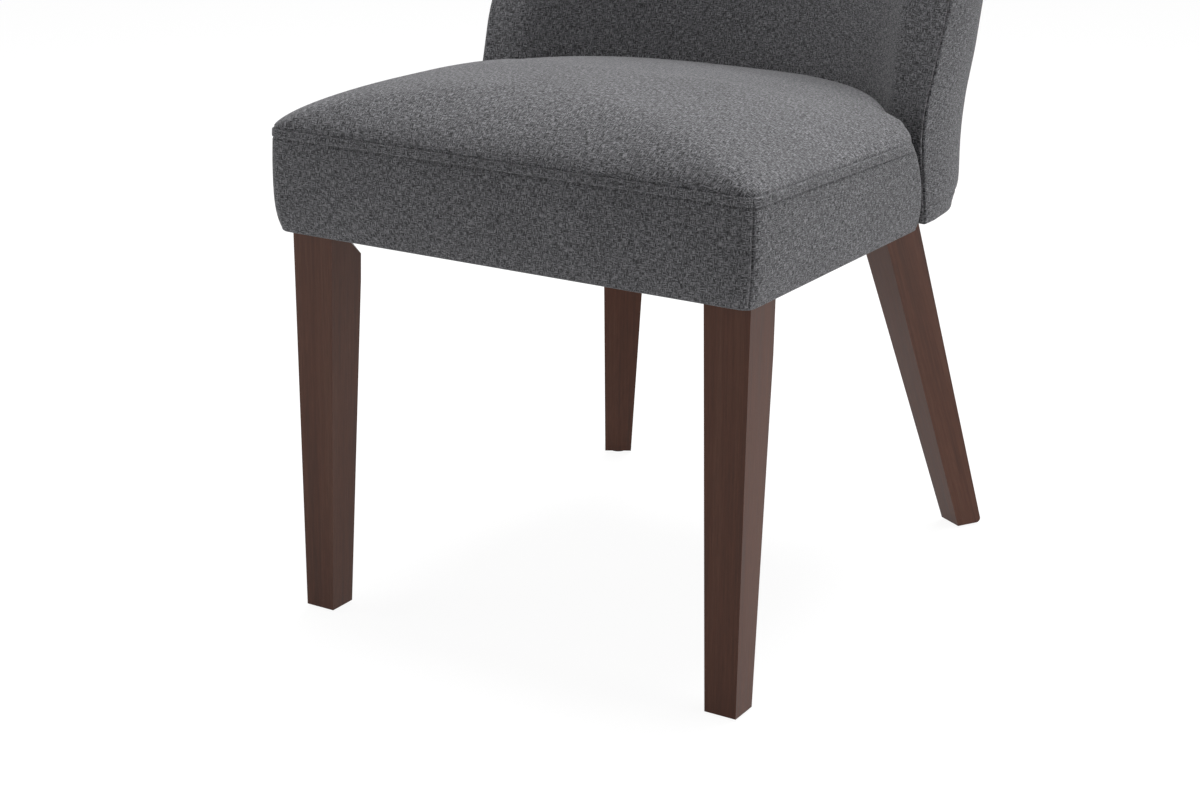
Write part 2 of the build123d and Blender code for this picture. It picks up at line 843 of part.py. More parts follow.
def inserts(planes):
    rods(planes, insert_radius, 0, insert_length)
    drilled(planes, bolt_radius + thread_clearance, 0, insert_length)


with BuildPart() as front_block_screws:
    screws(front_screws, front_screw_grip / 2)
finish(front_block_screws, "front_block_screws")

with BuildPart() as rear_block_screws:
    screws(rear_screws, block_width / 2)
finish(rear_block_screws, "rear_block_screws")

with BuildPart() as frame_dowels:
    rods(frame_dowel_planes, dowel_radius, -dowel_half_length, dowel_half_length)
finish(frame_dowels, "frame_dowels")

nut_seat = leg_clearance + block_thickness + washer_thickness
with BuildPart() as hanger_bolts:
    rods(hanger_planes, bolt_radius, -hanger_in_leg, nut_seat + nut_height + hanger_spare)
finish(hanger_bolts, "hanger_bolts")

with BuildPart() as hanger_washers:
    washers(hanger_planes, nut_seat - washer_thickness)
finish(hanger_washers, "hanger_washers")

with BuildPart() as hanger_nuts:
    for plane in hanger_planes:
        with BuildSketch(plane.offset(nut_seat)):
            RegularPolygon(nut_across_flats / 2, 6, major_radius=False)
            Circle(bolt_radius + thread_clearance, mode=Mode.SUBTRACT)
        extrude(amount=nut_height)
finish(hanger_nuts, "hanger_nuts")

with BuildPart() as rear_leg_bolts:
    cap_bolts(leg_bolt_planes, -rail_thickness - washer_thickness, leg_bolt_grip)
finish(rear_leg_bolts, "rear_leg_bolts")

with BuildPart() as rear_leg_washers:
    washers(leg_bolt_planes, -rail_thickness - washer_thickness)
finish(rear_leg_washers, "rear_leg_washers")

with BuildPart() as rear_leg_inserts:
    inserts(leg_bolt_planes)
finish(rear_leg_inserts, "rear_leg_inserts")

back_bolt_seat = -(post_inner - block_inner) - washer_thickness
with BuildPart() as back_bolts:
    cap_bolts(back_bolt_planes, back_bolt_seat, back_bolt_grip)
finish(back_bolts, "back_bolts")

with BuildPart() as back_bolt_washers:
    washers(back_bolt_planes, back_bolt_seat)
finish(back_bolt_washers, "back_bolt_washers")

with BuildPart() as back_bolt_inserts:
    inserts(back_bolt_planes)
finish(back_bolt_inserts, "back_bolt_inserts")

# Seat webbing: four straps front to back, and four across on top of them
strap_reach = block_inner - strap_width / 2
with BuildPart() as seat_webbing_lengthwise:
    for share in strap_shares:
        x = share * strap_reach
        strap_end = min(rear_rail_rear, on_leg_face(0, x=x + strap_width / 2)[1])
        length = strap_end - frame_front
        with Locations((x, frame_front, frame_top), (-x, frame_front, frame_top)):
            Box(strap_width, length, strap_thickness, align=(Align.CENTER, Align.MIN, Align.MIN))
finish(seat_webbing_lengthwise, "seat_webbing_lengthwise")

first_strap = leg_rear + strap_width
last_strap = side_rail_end + strap_width / 2
with BuildPart() as seat_webbing_crosswise:
    for row in range(crosswise_straps):
        y = first_strap + row * (last_strap - first_strap) / (crosswise_straps - 1)
        reach = frame_half_width if y + strap_width / 2 < side_rail_end else tuck_x
        with Locations((0, y, side_rail_top)):
            Box(2 * reach, strap_width, strap_thickness, align=(Align.CENTER, Align.CENTER, Align.MIN))
finish(seat_webbing_crosswise, "seat_webbing_crosswise")

# Seat foam: crowned, full to the boxings, round against the back, flat on the webbing
foam_base = deck_height + foam_lift
with BuildPart() as seat_foam:
    loft(seat_side_sections(cover + soft_gap))
    loft(seat_crown_sections(cover + soft_gap))
    keep_height = 2 * crown_rise + seam_height - recline_start
    extrude(seat_rear_outline(), amount=keep_height, dir=recline_direction, mode=Mode.INTERSECT)
    split(bisect_by=Plane.XY.offset(foam_base), keep=Keep.TOP)
finish(seat_foam, "seat_foam")

# Seat edge padding: between the frame and the boxings at the front and the sides
with BuildPart() as seat_edge_padding:
    loft(seat_side_sections(cover + soft_gap))
    extrude(boxing_profile(), amount=side_keep, both=True, mode=Mode.INTERSECT)
    split(bisect_by=Plane.XY.offset(frame_base + soft_gap), keep=Keep.TOP)
    split(bisect_by=Plane.XY.offset(foam_base - soft_gap), keep=Keep.BOTTOM)
    with Locations((0, frame_front - soft_gap, 0)):
        Box(
            2 * (frame_half_width + soft_gap),
            2 * rear_depth,
            2 * overall_height,
            align=(Align.CENTER, Align.MIN, Align.CENTER),
            mode=Mode.SUBTRACT,
        )
finish(seat_edge_padding, "seat_edge_padding")

# Seat covers: the top panel over the crown, then the boxings below the seam
with BuildPart() as seat_top_panel:
    loft(seat_crown_sections(0.0))
    loft(seat_crown_sections(cover), mode=Mode.SUBTRACT)
    extrude(seat_rear_outline(), amount=keep_height, dir=recline_direction, mode=Mode.INTERSECT)
finish(seat_top_panel, "seat_top_panel")

corner_inner = seat_half_width - seat_rear_radius
corner_outer = seat_half_width + seat_rear_radius
front_region = (
    (-corner_outer, seat_front - seat_rear_radius),
    (corner_outer, seat_front - seat_rear_radius),
    (corner_inner, seat_front + seat_rear_radius),
    (-corner_inner, seat_front + seat_rear_radius),
)
region_rear = side_rail_end + hem_turn
left_region = (
    front_region[1],
    (corner_outer, region_rear),
    (corner_inner, region_rear),
    front_region[2],
)


def boxing(region):
    """One panel of the boxing with its hem turned under the rails and cut away round the legs."""
    loft(seat_side_sections(0.0))
    loft(seat_side_sections(cover), mode=Mode.SUBTRACT)
    hem = seat_side_sections(0.0)[0]
    turned = seat_section(
        Plane.XY.offset(hem_height).shift_origin((0, seat_front, hem_height)),
        seat_half_width - seat_draw_in - hem_turn,
        seat_draw_in + hem_turn,
        rear_depth,
        cover,
        cover,
    )
    extrude(hem, amount=cover)
    extrude(turned, amount=cover, mode=Mode.SUBTRACT)
    with BuildSketch(Plane.XY) as panel:
        with BuildLine():
            Polyline(*region, close=True)
        make_face()
    extrude(panel.sketch, amount=overall_height, mode=Mode.INTERSECT)
    extrude(boxing_profile(), amount=side_keep, both=True, mode=Mode.INTERSECT)
    for side in (-1, 1):
        with Locations((side * (leg_inner + leg_top / 2), frame_front + leg_top / 2, hem_height)):
            Box(leg_top + 2 * leg_clearance, leg_top + 2 * leg_clearance, leg_top, mode=Mode.SUBTRACT)
    stapled()


with BuildPart() as seat_front_boxing:
    boxing(front_region)
finish(seat_front_boxing, "seat_front_boxing")

with BuildPart() as seat_left_boxing:
    boxing(left_region)
finish(seat_left_boxing, "seat_left_boxing")

with BuildPart() as seat_right_boxing:
    mirror(seat_left_boxing.part, about=Plane.YZ)
finish(seat_right_boxing, "seat_right_boxing")

# Dust cover under the seat and the back, open round the rear legs, and its staples
with BuildPart() as dust_cover_sheet:
    with BuildSketch(Plane.XY.offset(staple_height)):
        with BuildLine():
            Polyline(*dust_edge, *[mirrored(point) for point in reversed(dust_edge)])
            outside_run(dust_level)
        make_face()
    extrude(amount=dust_cover)
    opening = rear_leg_section(
        hem_height,
        -half_width - leg_clearance,
        half_width + leg_clearance,
        -leg_clearance,
        leg_top + 2 * leg_clearance,
    )
    extrude(opening, amount=dust_cover, both=True, mode=Mode.SUBTRACT)
    extrude(mirror(opening, about=Plane.YZ), amount=dust_cover, both=True, mode=Mode.SUBTRACT)
    stapled()
finish(dust_cover_sheet, "dust_cover")

with BuildPart() as dust_cover_staples:
    with Locations(*staple_places):
        Box(staple_crown, staple_wire, staple_wire, align=(Align.CENTER, Align.CENTER, Align.MAX))
        leg_offset = (staple_crown - staple_wire) / 2
        with Locations((-leg_offset, 0, 0), (leg_offset, 0, 0)):
            Box(staple_wire, staple_wire, staple_leg, align=(Align.CENTER, Align.CENTER, Align.MIN))
finish(dust_cover_staples, "dust_cover_staples")

# Back frame: posts that lean back above the seat, and three curved rails between them
with BuildPart() as back_left_post:
    post_top = top_pad_base - soft_gap
    post_levels = (frame_base, recline_start, wing_lean_start, wing_lean_end, post_top)
    front_points = [(post_front(z), z) for z in post_levels]
    rear_points = [(post_rear + recline_shift(z), z) for z in (post_top, recline_start, frame_base)]
    with BuildSketch(Plane.YZ.offset(post_inner)):
        with BuildLine():
            Polyline(*front_points, *rear_points, close=True)
        make_face()
    extrude(amount=post_width)
    drilled(back_bolt_planes, insert_radius + thread_clearance, -post_width, insert_length)
    drilled(back_bolt_planes, bolt_radius + bolt_clearance, 0, back_bolt_grip + hanger_spare)
    drilled(back_dowel_planes, dowel_radius + dowel_clearance, -dowel_half_length, dowel_half_length)
finish(back_left_post, "back_left_post")

with BuildPart() as back_right_post:
    mirror(back_left_post.part, about=Plane.YZ)
finish(back_right_post, "back_right_post")


def back_rail(base):
    side_y = post_rear + recline_shift(base)
    with BuildSketch(Plane.XY.offset(base)) as band:
        with BuildLine():
            near = back_level(base, 0, back_rail_face)
            far = back_level(base, 0, webbing_face)
            for level in (near, far):
                outside_run(level, side_y)
            joined_ends(near.side, far.side)
        make_face()
    length = back_rail_height / cos(radians(recline))
    extrude(band.sketch, amount=length, dir=recline_direction)
    drilled(back_dowel_planes, dowel_radius + dowel_clearance, -dowel_half_length, dowel_half_length)


with BuildPart() as back_bottom_rail:
    back_rail(back_rail_bases[0])
finish(back_bottom_rail, "back_bottom_rail")

with BuildPart() as back_lumbar_rail:
    back_rail(back_rail_bases[1])
finish(back_lumbar_rail, "back_lumbar_rail")

with BuildPart() as back_top_rail:
    back_rail(back_rail_bases[2])
finish(back_top_rail, "back_top_rail")

with BuildPart() as back_dowels:
    rods(back_dowel_planes, dowel_radius, -dowel_half_length, dowel_half_length)
finish(back_dowels, "back_dowels")

# Outer back board, bent round the posts and the rails
with BuildPart() as back_board:
    board_levels = (frame_base, recline_start, wing_lean_start, wing_lean_end, top_pad_base - soft_gap)
    loft([outside_strip(z, board_face, back_rail_face, post_front(z)) for z in board_levels], ruled=True)
finish(back_board, "back_board")

# Back webbing: upright straps on the inner faces of the rails
with BuildPart() as back_webbing:
    strap_base = back_rail_bases[0]
    strap_top = back_rail_bases[2] + back_rail_height
    arc_level = back_level(strap_base, 0, webbing_face)
    arc_turn = tan(radians(back_corner_turn))
    arc_y = arc_level.side[1] - arc_level.corner_centre[0] * arc_turn
    arc_r = arc_level.rear[1] - arc_y
    half_angle = degrees(strap_width / 2 / arc_r)

    def on_arc(radius, angle):
        return (radius * sin(radians(angle)), arc_y + radius * cos(radians(angle)))

    for angle in back_strap_angles:
        with BuildSketch(Plane.XY.offset(strap_base)) as strap:
            with BuildLine():
                for radius in (arc_r, arc_r - strap_thickness):
                    ThreePointArc(
                        on_arc(radius, angle - half_angle),
                        on_arc(radius, angle),
                        on_arc(radius, angle + half_angle),
                    )
                for edge_angle in (angle - half_angle, angle + half_angle):
                    Line(on_arc(arc_r, edge_angle), on_arc(arc_r - strap_thickness, edge_angle))
            make_face()
        strap_length = (strap_top - strap_base) / cos(radians(recline))
        extrude(strap.sketch, amount=strap_length, dir=recline_direction)
finish(back_webbing, "back_webbing")

# Back padding: inside foam, pads in front of the posts beside the seat, outer wadding and a top pad
with BuildPart() as back_foam:
    foam_levels = (back_base, wing_lean_start, wing_lean_end, top_pad_base - soft_gap)
    loft([foam_section(z) for z in foam_levels], ruled=True)
finish(back_foam, "back_foam")

with BuildPart() as back_left_wing_pad:
    loft([wing_pad_section(z) for z in pad_levels], ruled=True)
finish(back_left_wing_pad, "back_left_wing_pad")

with BuildPart() as back_right_wing_pad:
    mirror(back_left_wing_pad.part, about=Plane.YZ)
finish(back_right_wing_pad, "back_right_wing_pad")

with BuildPart() as back_wadding:
    wadding_levels = shell_levels[:-1] + (top_pad_base - soft_gap,)
    near = cover + soft_gap
    loft([outside_strip(z, near, near + wadding) for z in wadding_levels], ruled=True)
finish(back_wadding, "back_wadding")

with BuildPart() as back_top_pad:
    loft([full_section(z, cover + soft_gap) for z in cap_levels[:-1]])
    split(bisect_by=Plane.XY.offset(overall_height - cover - soft_gap), keep=Keep.BOTTOM)
finish(back_top_pad, "back_top_pad")

# Back covers: the inside panel from seam to seam, the outside panel with the borders and the top
with BuildPart() as back_inside_panel:
    loft([inside_strip(z, 0.0, cover) for z in back_levels], ruled=True)
finish(back_inside_panel, "back_inside_panel")

with BuildPart() as back_outside_panel:
    loft([wrapped_strip(z, 0.0, cover) for z in (hem_height, recline_start, back_base)], ruled=True)
    loft([outside_strip(z, 0.0, cover) for z in back_levels], ruled=True)
    hem_strip = outside_strip(hem_height, 0.0, back_hem_turn)
    extrude(hem_strip, amount=cover)
    loft([full_section(z, 0.0) for z in cap_levels])
    loft([full_section(z, cover) for z in cap_levels[:-1]], mode=Mode.SUBTRACT)
finish(back_outside_panel, "back_outside_panel")
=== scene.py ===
import json
from math import cos, pi, radians, sin, sqrt, tan

import bmesh
import bpy
import numpy as np
from mathutils import Matrix, Vector
from mathutils.bvhtree import BVHTree
from mathutils.kdtree import KDTree


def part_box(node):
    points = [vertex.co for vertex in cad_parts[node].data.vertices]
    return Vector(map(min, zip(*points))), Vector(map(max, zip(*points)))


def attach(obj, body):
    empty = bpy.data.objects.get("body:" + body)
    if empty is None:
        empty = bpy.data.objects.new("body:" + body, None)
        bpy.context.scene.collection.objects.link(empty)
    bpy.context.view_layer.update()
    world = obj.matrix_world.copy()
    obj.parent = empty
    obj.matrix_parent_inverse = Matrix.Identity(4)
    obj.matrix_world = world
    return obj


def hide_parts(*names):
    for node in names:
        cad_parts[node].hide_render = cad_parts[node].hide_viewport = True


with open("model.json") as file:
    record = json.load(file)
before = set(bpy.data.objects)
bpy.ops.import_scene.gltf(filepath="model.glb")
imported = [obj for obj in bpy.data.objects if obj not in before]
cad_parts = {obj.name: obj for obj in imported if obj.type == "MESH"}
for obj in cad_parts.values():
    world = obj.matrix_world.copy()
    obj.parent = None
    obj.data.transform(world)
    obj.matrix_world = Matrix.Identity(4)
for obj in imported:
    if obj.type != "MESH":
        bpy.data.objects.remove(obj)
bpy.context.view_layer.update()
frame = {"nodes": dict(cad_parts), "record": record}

nodes = frame["nodes"]
rng = np.random.default_rng(7)

# Sizes in metres. Depths are measured from the front of the seat.
boxing_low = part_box("seat_front_boxing")[0]
seat_front = boxing_low.y
hem_height = boxing_low.z
top_padding = 0.004
overall_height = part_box("back_outside_panel")[1].z - top_padding

# Seat
seam_height = hem_height + 0.091
seat_slope = 0.0279
seat_half_width = 0.236
seat_flare = 0.004
boxing_length = 0.3135
boxing_seam_draw = 0.0266
boxing_draw_drop = 0.008
boxing_draw_power = 3
short_wall = 0.04
seat_corner = 0.012
hem_draw = 0.0055
hem_draw_power = 6.6
seam_draw = 0.0008
seam_draw_power = 4
hem_round = 0.003
hem_turn = 0.022
fold_round = 0.008
tuck_knee = (0.2262, 0.3152)
tuck_end = (0.1985, 0.3162)
deck_height = 0.431
seat_rear_radius = 0.2436
seat_rear_centre = 0.1844
crown_rise = 0.0517
crown_front_share = 0.615
crown_corner_growth = 0.6
crown_corner_gain = 0.001
crown_corner_reach = 0.020
crown_corner_most = 0.9
crown_edge_power = 2.65
crown_round_power = 1.49
crown_peak = 0.159
crown_rear_reach = 0.392
crown_rear_power = 1.59
crown_rear_round = 0.014
tuck_sink = 0.016
tuck_sink_reach = 0.014
crown_round_start = 0.064
crown_round_full = 0.232
crown_centre = 0.200
crown_seam_power = 8
seat_shell = 0.004
seat_swell = 0.0022
seat_fade = 0.035
seam_groove = 0.0011
seam_lip = 0.0009
seam_pucker = 0.00025
pucker_reach = 0.012
corner_groove = 0.0012
corner_groove_width = 0.0007
corner_groove_start = 0.0005
stitch_drop = 0.008
stitch_groove = 0.0008
stitch_band = 0.0006
band_edge = 0.0012
stitch_length = 0.0032
stitch_pitch = 0.0042
stitch_width = 0.0007
dust_sag = 0.0018
dust_step = 0.03
dust_thickness = 0.0008

# Back
back_half_width = 0.2345
back_flare = 0.0022
back_flare_start = 0.455
back_flare_reach = 0.05
flare_lead = 1.656
side_taper = radians(5)
back_depth = 0.516
recline_slope = tan(radians(14.3))
recline_start = 0.425
recline_ease = 0.020
inside_radius = 0.2456
inside_centre = 0.1844
wing_tip_low = 0.0355
wing_tip_high = 0.0435
wing_lean_start = 0.440
wing_lean_end = 0.580
wing_bulge = 0.002
wing_seam_hem = 0.331
wing_seam_low = 0.3165
wing_seam_high = 0.3743
wing_seam_lean = 0.451
wing_fold_height = 0.425
wing_recess = 0.006
wing_edge_in = 0.0025
wing_edge_back = 0.0042
wing_edge_round = 0.020
wing_edge_power = 1.3
back_hem_draw = 0.0005
back_hem_round = 0.0015
back_hem_groove = 0.0010
back_hem_pucker = 0.0002
back_pucker_reach = 0.01
back_hem_height = 0.016
back_middle = 0.42
back_half_depth = 0.1
back_side_length = 0.385
back_side_least = 0.006
back_corner_turn = radians(54)
top_corner_radius = 0.045
top_edge_radius = 0.022
inside_base = 0.430
back_shell = 0.006
seam_shell = 0.0006
seam_reach = 0.045
hem_reach = 0.030
back_hem_seam = 0.0165
back_hem_turn = 0.012
nose_hem_turn = 0.005
back_swell = 0.0025
outside_swell = 0.0008
back_fade = 0.06
seam_curl = 0.0024
seam_width = 0.0011
top_edge_drop = 0.020
top_crown = 0.0015

# Covers and hems
cover = 0.0012
leg_clearance = 0.0008
least_turn = 0.0004
merge_distance = 0.00001
mirror_x = np.array((-1.0, 1.0, 1.0))


# Small helpers for meshes
def vertex_normals(points, faces):
    """Unit normals at the points of a mesh."""
    normals = np.zeros_like(points)
    for count in (3, 4):
        group = np.array([face for face in faces if len(face) == count], int)
        if len(group) == 0:
            continue
        first = points[group[:, 2]] - points[group[:, 0]]
        second = points[group[:, count - 1]] - points[group[:, 1]]
        face_normals = np.cross(first, second)
        for corner in range(count):
            np.add.at(normals, group[:, corner], face_normals)
    lengths = np.linalg.norm(normals, axis=1, keepdims=True)
    return normals / np.maximum(lengths, 1e-12)


def grid_faces(rows, columns, closed, kept=None):
    """Four-sided faces of a grid of points; kept says which of them stay."""
    faces = []
    for row in range(rows - 1):
        for column in range(columns if closed else columns - 1):
            if kept is not None and not kept(row, column):
                continue
            after = (column + 1) % columns
            corners = (row * columns + column, row * columns + after)
            faces.append((corners[0], corners[1], corners[1] + columns, corners[0] + columns))
    return faces


def make_piece(name, points, faces, uvs, material):
    """A smooth mesh with a cloth map in metres, given one map point for each corner of each face."""
    mesh = bpy.data.meshes.new(name)
    mesh.from_pydata([tuple(point) for point in points], [], faces)
    layer = mesh.uv_layers.new(name="cloth")
    layer.data.foreach_set("uv", np.array(uvs, float).ravel())
    mesh.shade_smooth()
    mesh.materials.append(material)
    mesh.update()
    piece = bpy.data.objects.new(name, mesh)
    bpy.context.scene.collection.objects.link(piece)
    return piece


def make_shell(name, outer, inner, faces, corner_uv, material):
    """A closed shell between an outer and an inner surface that share their faces."""
    count = len(outer)
    edges = set()
    for face in faces:
        edges.update(zip(face, face[1:] + face[:1]))
    rims = [(b, a, a + count, b + count) for a, b in sorted(edges) if (b, a) not in edges]
    inner_faces = [tuple(index + count for index in reversed(face)) for face in faces]
    uvs = [corner_uv(face, index) for face in faces for index in face]
    uvs += [corner_uv(face, index) for face in faces for index in reversed(face)]
    uvs += [corner_uv(None, index % count) for rim in rims for index in rim]
    points = np.concatenate((outer, inner))
    return make_piece(name, points, faces + inner_faces + rims, uvs, material)


def between(places, marks, values):
    """Rows of values at places along a line, from those at its marks."""
    columns = [np.interp(places, marks, values[:, axis]) for axis in range(values.shape[1])]
    return np.stack(columns, axis=1)


def plumped(points, faces, held, cap, pressure=4.0, last_frame=20):
    """The points after a cloth simulation that swells the padding under a tight cover."""
    mesh = bpy.data.meshes.new("plump")
    mesh.from_pydata([tuple(point) for point in points], [], faces)
    piece = bpy.data.objects.new("plump", mesh)
    scene = bpy.context.scene
    scene.collection.objects.link(piece)
    group = piece.vertex_groups.new(name="held")
    group.add([int(index) for index in np.flatnonzero(held)], 1.0, "REPLACE")
    cloth = piece.modifiers.new("cloth", "CLOTH")
    cloth.settings.quality = 6
    cloth.settings.mass = 0.3
    cloth.settings.tension_stiffness = 12.0
    cloth.settings.compression_stiffness = 12.0
    cloth.settings.shear_stiffness = 5.0
    cloth.settings.bending_stiffness = 0.6
    cloth.settings.vertex_group_mass = "held"
    cloth.settings.use_pressure = True
    cloth.settings.uniform_pressure_force = pressure
    cloth.settings.effector_weights.gravity = 0.0
    cloth.point_cache.frame_start = 1
    cloth.point_cache.frame_end = last_frame
    for number in range(1, last_frame + 1):
        scene.frame_set(number)
    graph = bpy.context.evaluated_depsgraph_get()
    result = piece.evaluated_get(graph).to_mesh()
    moved = np.zeros(len(points) * 3, np.float32)
    result.vertices.foreach_get("co", moved)
    scene.frame_set(1)
    bpy.data.objects.remove(piece)
    bpy.data.meshes.remove(mesh)
    shift = moved.reshape(-1, 3).astype(float) - points
    length = np.linalg.norm(shift, axis=1, keepdims=True)
    return points + shift * np.minimum(1.0, cap / np.maximum(length, 1e-9))


def plumped_grid(grid, rows, columns, held, fade, cap, closed, flipped=False):
    """A grid swelled by a simulation on some of its rows and columns, less so where it fades."""
    coarse = grid[np.ix_(rows, columns)]
    points = coarse.reshape(-1, 3)
    faces = grid_faces(len(rows), len(columns), closed)
    if flipped:
        faces = [tuple(reversed(face)) for face in faces]
    swelled = plumped(points, faces, held[np.ix_(rows, columns)].ravel(), cap)
    normals = vertex_normals(points, faces)
    outward = np.sum((swelled - points) * normals, axis=1, keepdims=True).clip(0.0, None)
    shift = (normals * outward).reshape(coarse.shape)
    for smoothing in range(3):
        shift[1:-1] = (shift[:-2] + 2 * shift[1:-1] + shift[2:]) / 4
        shift[:, 1:-1] = (shift[:, :-2] + 2 * shift[:, 1:-1] + shift[:, 2:]) / 4
    places = np.array(columns, float)
    if closed:
        shift = np.concatenate((shift, shift[:, :1]), axis=1)
        places = np.append(places, grid.shape[1])
    every_column = np.arange(grid.shape[1])
    every_row = np.arange(grid.shape[0])
    across = np.array([between(every_column, places, line) for line in shift])
    full = np.stack([between(every_row, rows, across[:, column]) for column in every_column], axis=1)
    return grid + full * fade[:, :, None]


def smooth_step(value):
    """From 0 to 1 with a soft start and end."""
    share = np.clip(value, 0.0, 1.0)
    return share * share * (3 - 2 * share)


def hump(distance, width):
    """One at no distance, falling smoothly to nothing within about two widths."""
    return np.exp(-((distance / width) ** 2))


def circle_points(centre, radius, angles):
    """Points of a circle at some angles."""
    return np.stack((centre[0] + radius * np.cos(angles), centre[1] + radius * np.sin(angles)), axis=-1)


def run_lengths(points, axis=0):
    """Lengths along lines of points, from zero at their start."""
    steps = np.linalg.norm(np.diff(points, axis=axis), axis=-1)
    start = np.zeros_like(np.take(steps, [0], axis=axis))
    return np.concatenate((start, np.cumsum(steps, axis=axis)), axis=axis)


def column_distance(grid, column):
    """Distance of the points of a closed grid from a column of them or from its mirror image."""
    places = (column, grid.shape[1] - column)
    return np.minimum(*(np.linalg.norm(grid - grid[:, [place]], axis=2) for place in places))


def tree_of(names):
    """A ray target made of CAD nodes."""
    points = []
    faces = []
    for name in names:
        start = len(points)
        mesh = nodes[name].data
        points += [vertex.co.copy() for vertex in mesh.vertices]
        faces += [[index + start for index in polygon.vertices] for polygon in mesh.polygons]
    return BVHTree.FromPolygons(points, faces)


legs = ("front_left_leg", "front_right_leg", "rear_left_leg", "rear_right_leg")
leg_tree = tree_of(legs)


def turn_depth(point, inward, most):
    """How far a hem can turn under before it meets a leg."""
    hit = leg_tree.ray_cast(Vector(point), Vector(inward), most + leg_clearance)
    return most if hit[0] is None else max(least_turn, hit[3] - leg_clearance)


def hem_rows(row, middle, sense, radius, shares, most):
    """Rows round a hem and under it, as far as the legs leave room.

    The middle is the index and the direction of the line's end in the middle of the chair, and the sense
    is 1 where the line runs with its inside on the left.
    """
    tangent = np.gradient(row[:, :2], axis=0)
    tangent[middle[0]] = (middle[1], 0.0)
    inward = sense * np.stack((-tangent[:, 1], tangent[:, 0]), axis=1)
    inward /= np.linalg.norm(inward, axis=1, keepdims=True)
    depths = np.zeros(len(row))
    for column, limit in enumerate(np.broadcast_to(most, len(row))):
        x, depth = row[column, :2] + inward[column] * radius
        place = (x, seat_front + depth, hem_height + cover / 2)
        depths[column] = turn_depth(place, (*inward[column], 0.0), limit)
    rows = []
    for angle in np.radians((22.5, 45.0, 67.5, 90.0)):
        step = inward * radius * (1 - cos(angle))
        rows.append(np.column_stack((row[:, :2] + step, row[:, 2] - radius * sin(angle))))
    for share in shares:
        step = inward * (radius + depths[:, None] * share)
        rows.append(np.column_stack((row[:, :2] + step, row[:, 2] - radius)))
    return rows[::-1]


# Materials
class Shader:
    """The nodes of a material or of the world, put together by short calls."""

    def __init__(self, owner, main="Principled BSDF"):
        owner.use_nodes = True
        self.owner = owner
        self.tree = owner.node_tree
        self.surface = self.tree.nodes[main]

    def add(self, kind, inputs=None, output=0, **settings):
        node = self.tree.nodes.new(kind)
        for key, value in settings.items():
            setattr(node, key, value)
        self.feed(node, inputs or {})
        return node.outputs[output]

    def feed(self, node, inputs):
        for key, value in inputs.items():
            if isinstance(value, bpy.types.NodeSocket):
                self.tree.links.new(value, node.inputs[key])
            else:
                node.inputs[key].default_value = value

    def noise(self, vector, scale, detail=2.0, roughness=0.55):
        inputs = {"Vector": vector, "Scale": scale, "Detail": detail, "Roughness": roughness}
        return self.add("ShaderNodeTexNoise", inputs)

    def scaled(self, vector, scale, rotation=(0, 0, 0)):
        return self.add("ShaderNodeMapping", {"Vector": vector, "Scale": scale, "Rotation": rotation})

    def stretched(self, vector, scale, detail=2.0, roughness=0.55):
        """Noise with a scale of its own along each axis."""
        return self.noise(self.scaled(vector, scale), 1.0, detail, roughness)

    def ranged(self, value, low, high, start=0.3, end=0.7):
        """A value brought to a range; the usual start and end hold most of a noise between them."""
        return self.add("ShaderNodeMapRange", {"Value": value, 1: start, 2: end, 3: low, 4: high})

    def math(self, operation, first, second=0.0):
        return self.add("ShaderNodeMath", {0: first, 1: second}, operation=operation)

    def ramp(self, value, stops):
        node = self.tree.nodes.new("ShaderNodeValToRGB")
        elements = node.color_ramp.elements
        while len(elements) < len(stops):
            elements.new(0.5)
        for element, (place, colour) in zip(elements, stops):
            element.position = place
            element.color = (*colour, 1.0)
        self.feed(node, {"Fac": value})
        return node.outputs["Color"]

    def tinted(self, colour, value, low, high):
        """The colour made darker and lighter by a value from 0 to 1."""
        factor = self.ranged(value, low, high)
        return self.add("ShaderNodeVectorMath", {0: colour, "Scale": factor}, operation="SCALE")

    def finish(self, colour, roughness, bump=None, strength=0.2, distance=0.0003, **sockets):
        self.feed(self.surface, {"Base Color": colour, "Roughness": roughness})
        if bump is not None:
            inputs = {"Height": bump, "Strength": strength, "Distance": distance}
            self.feed(self.surface, {"Normal": self.add("ShaderNodeBump", inputs)})
        for key, value in sockets.items():
            self.surface.inputs[key.replace("_", " ")].default_value = value
        return self.owner


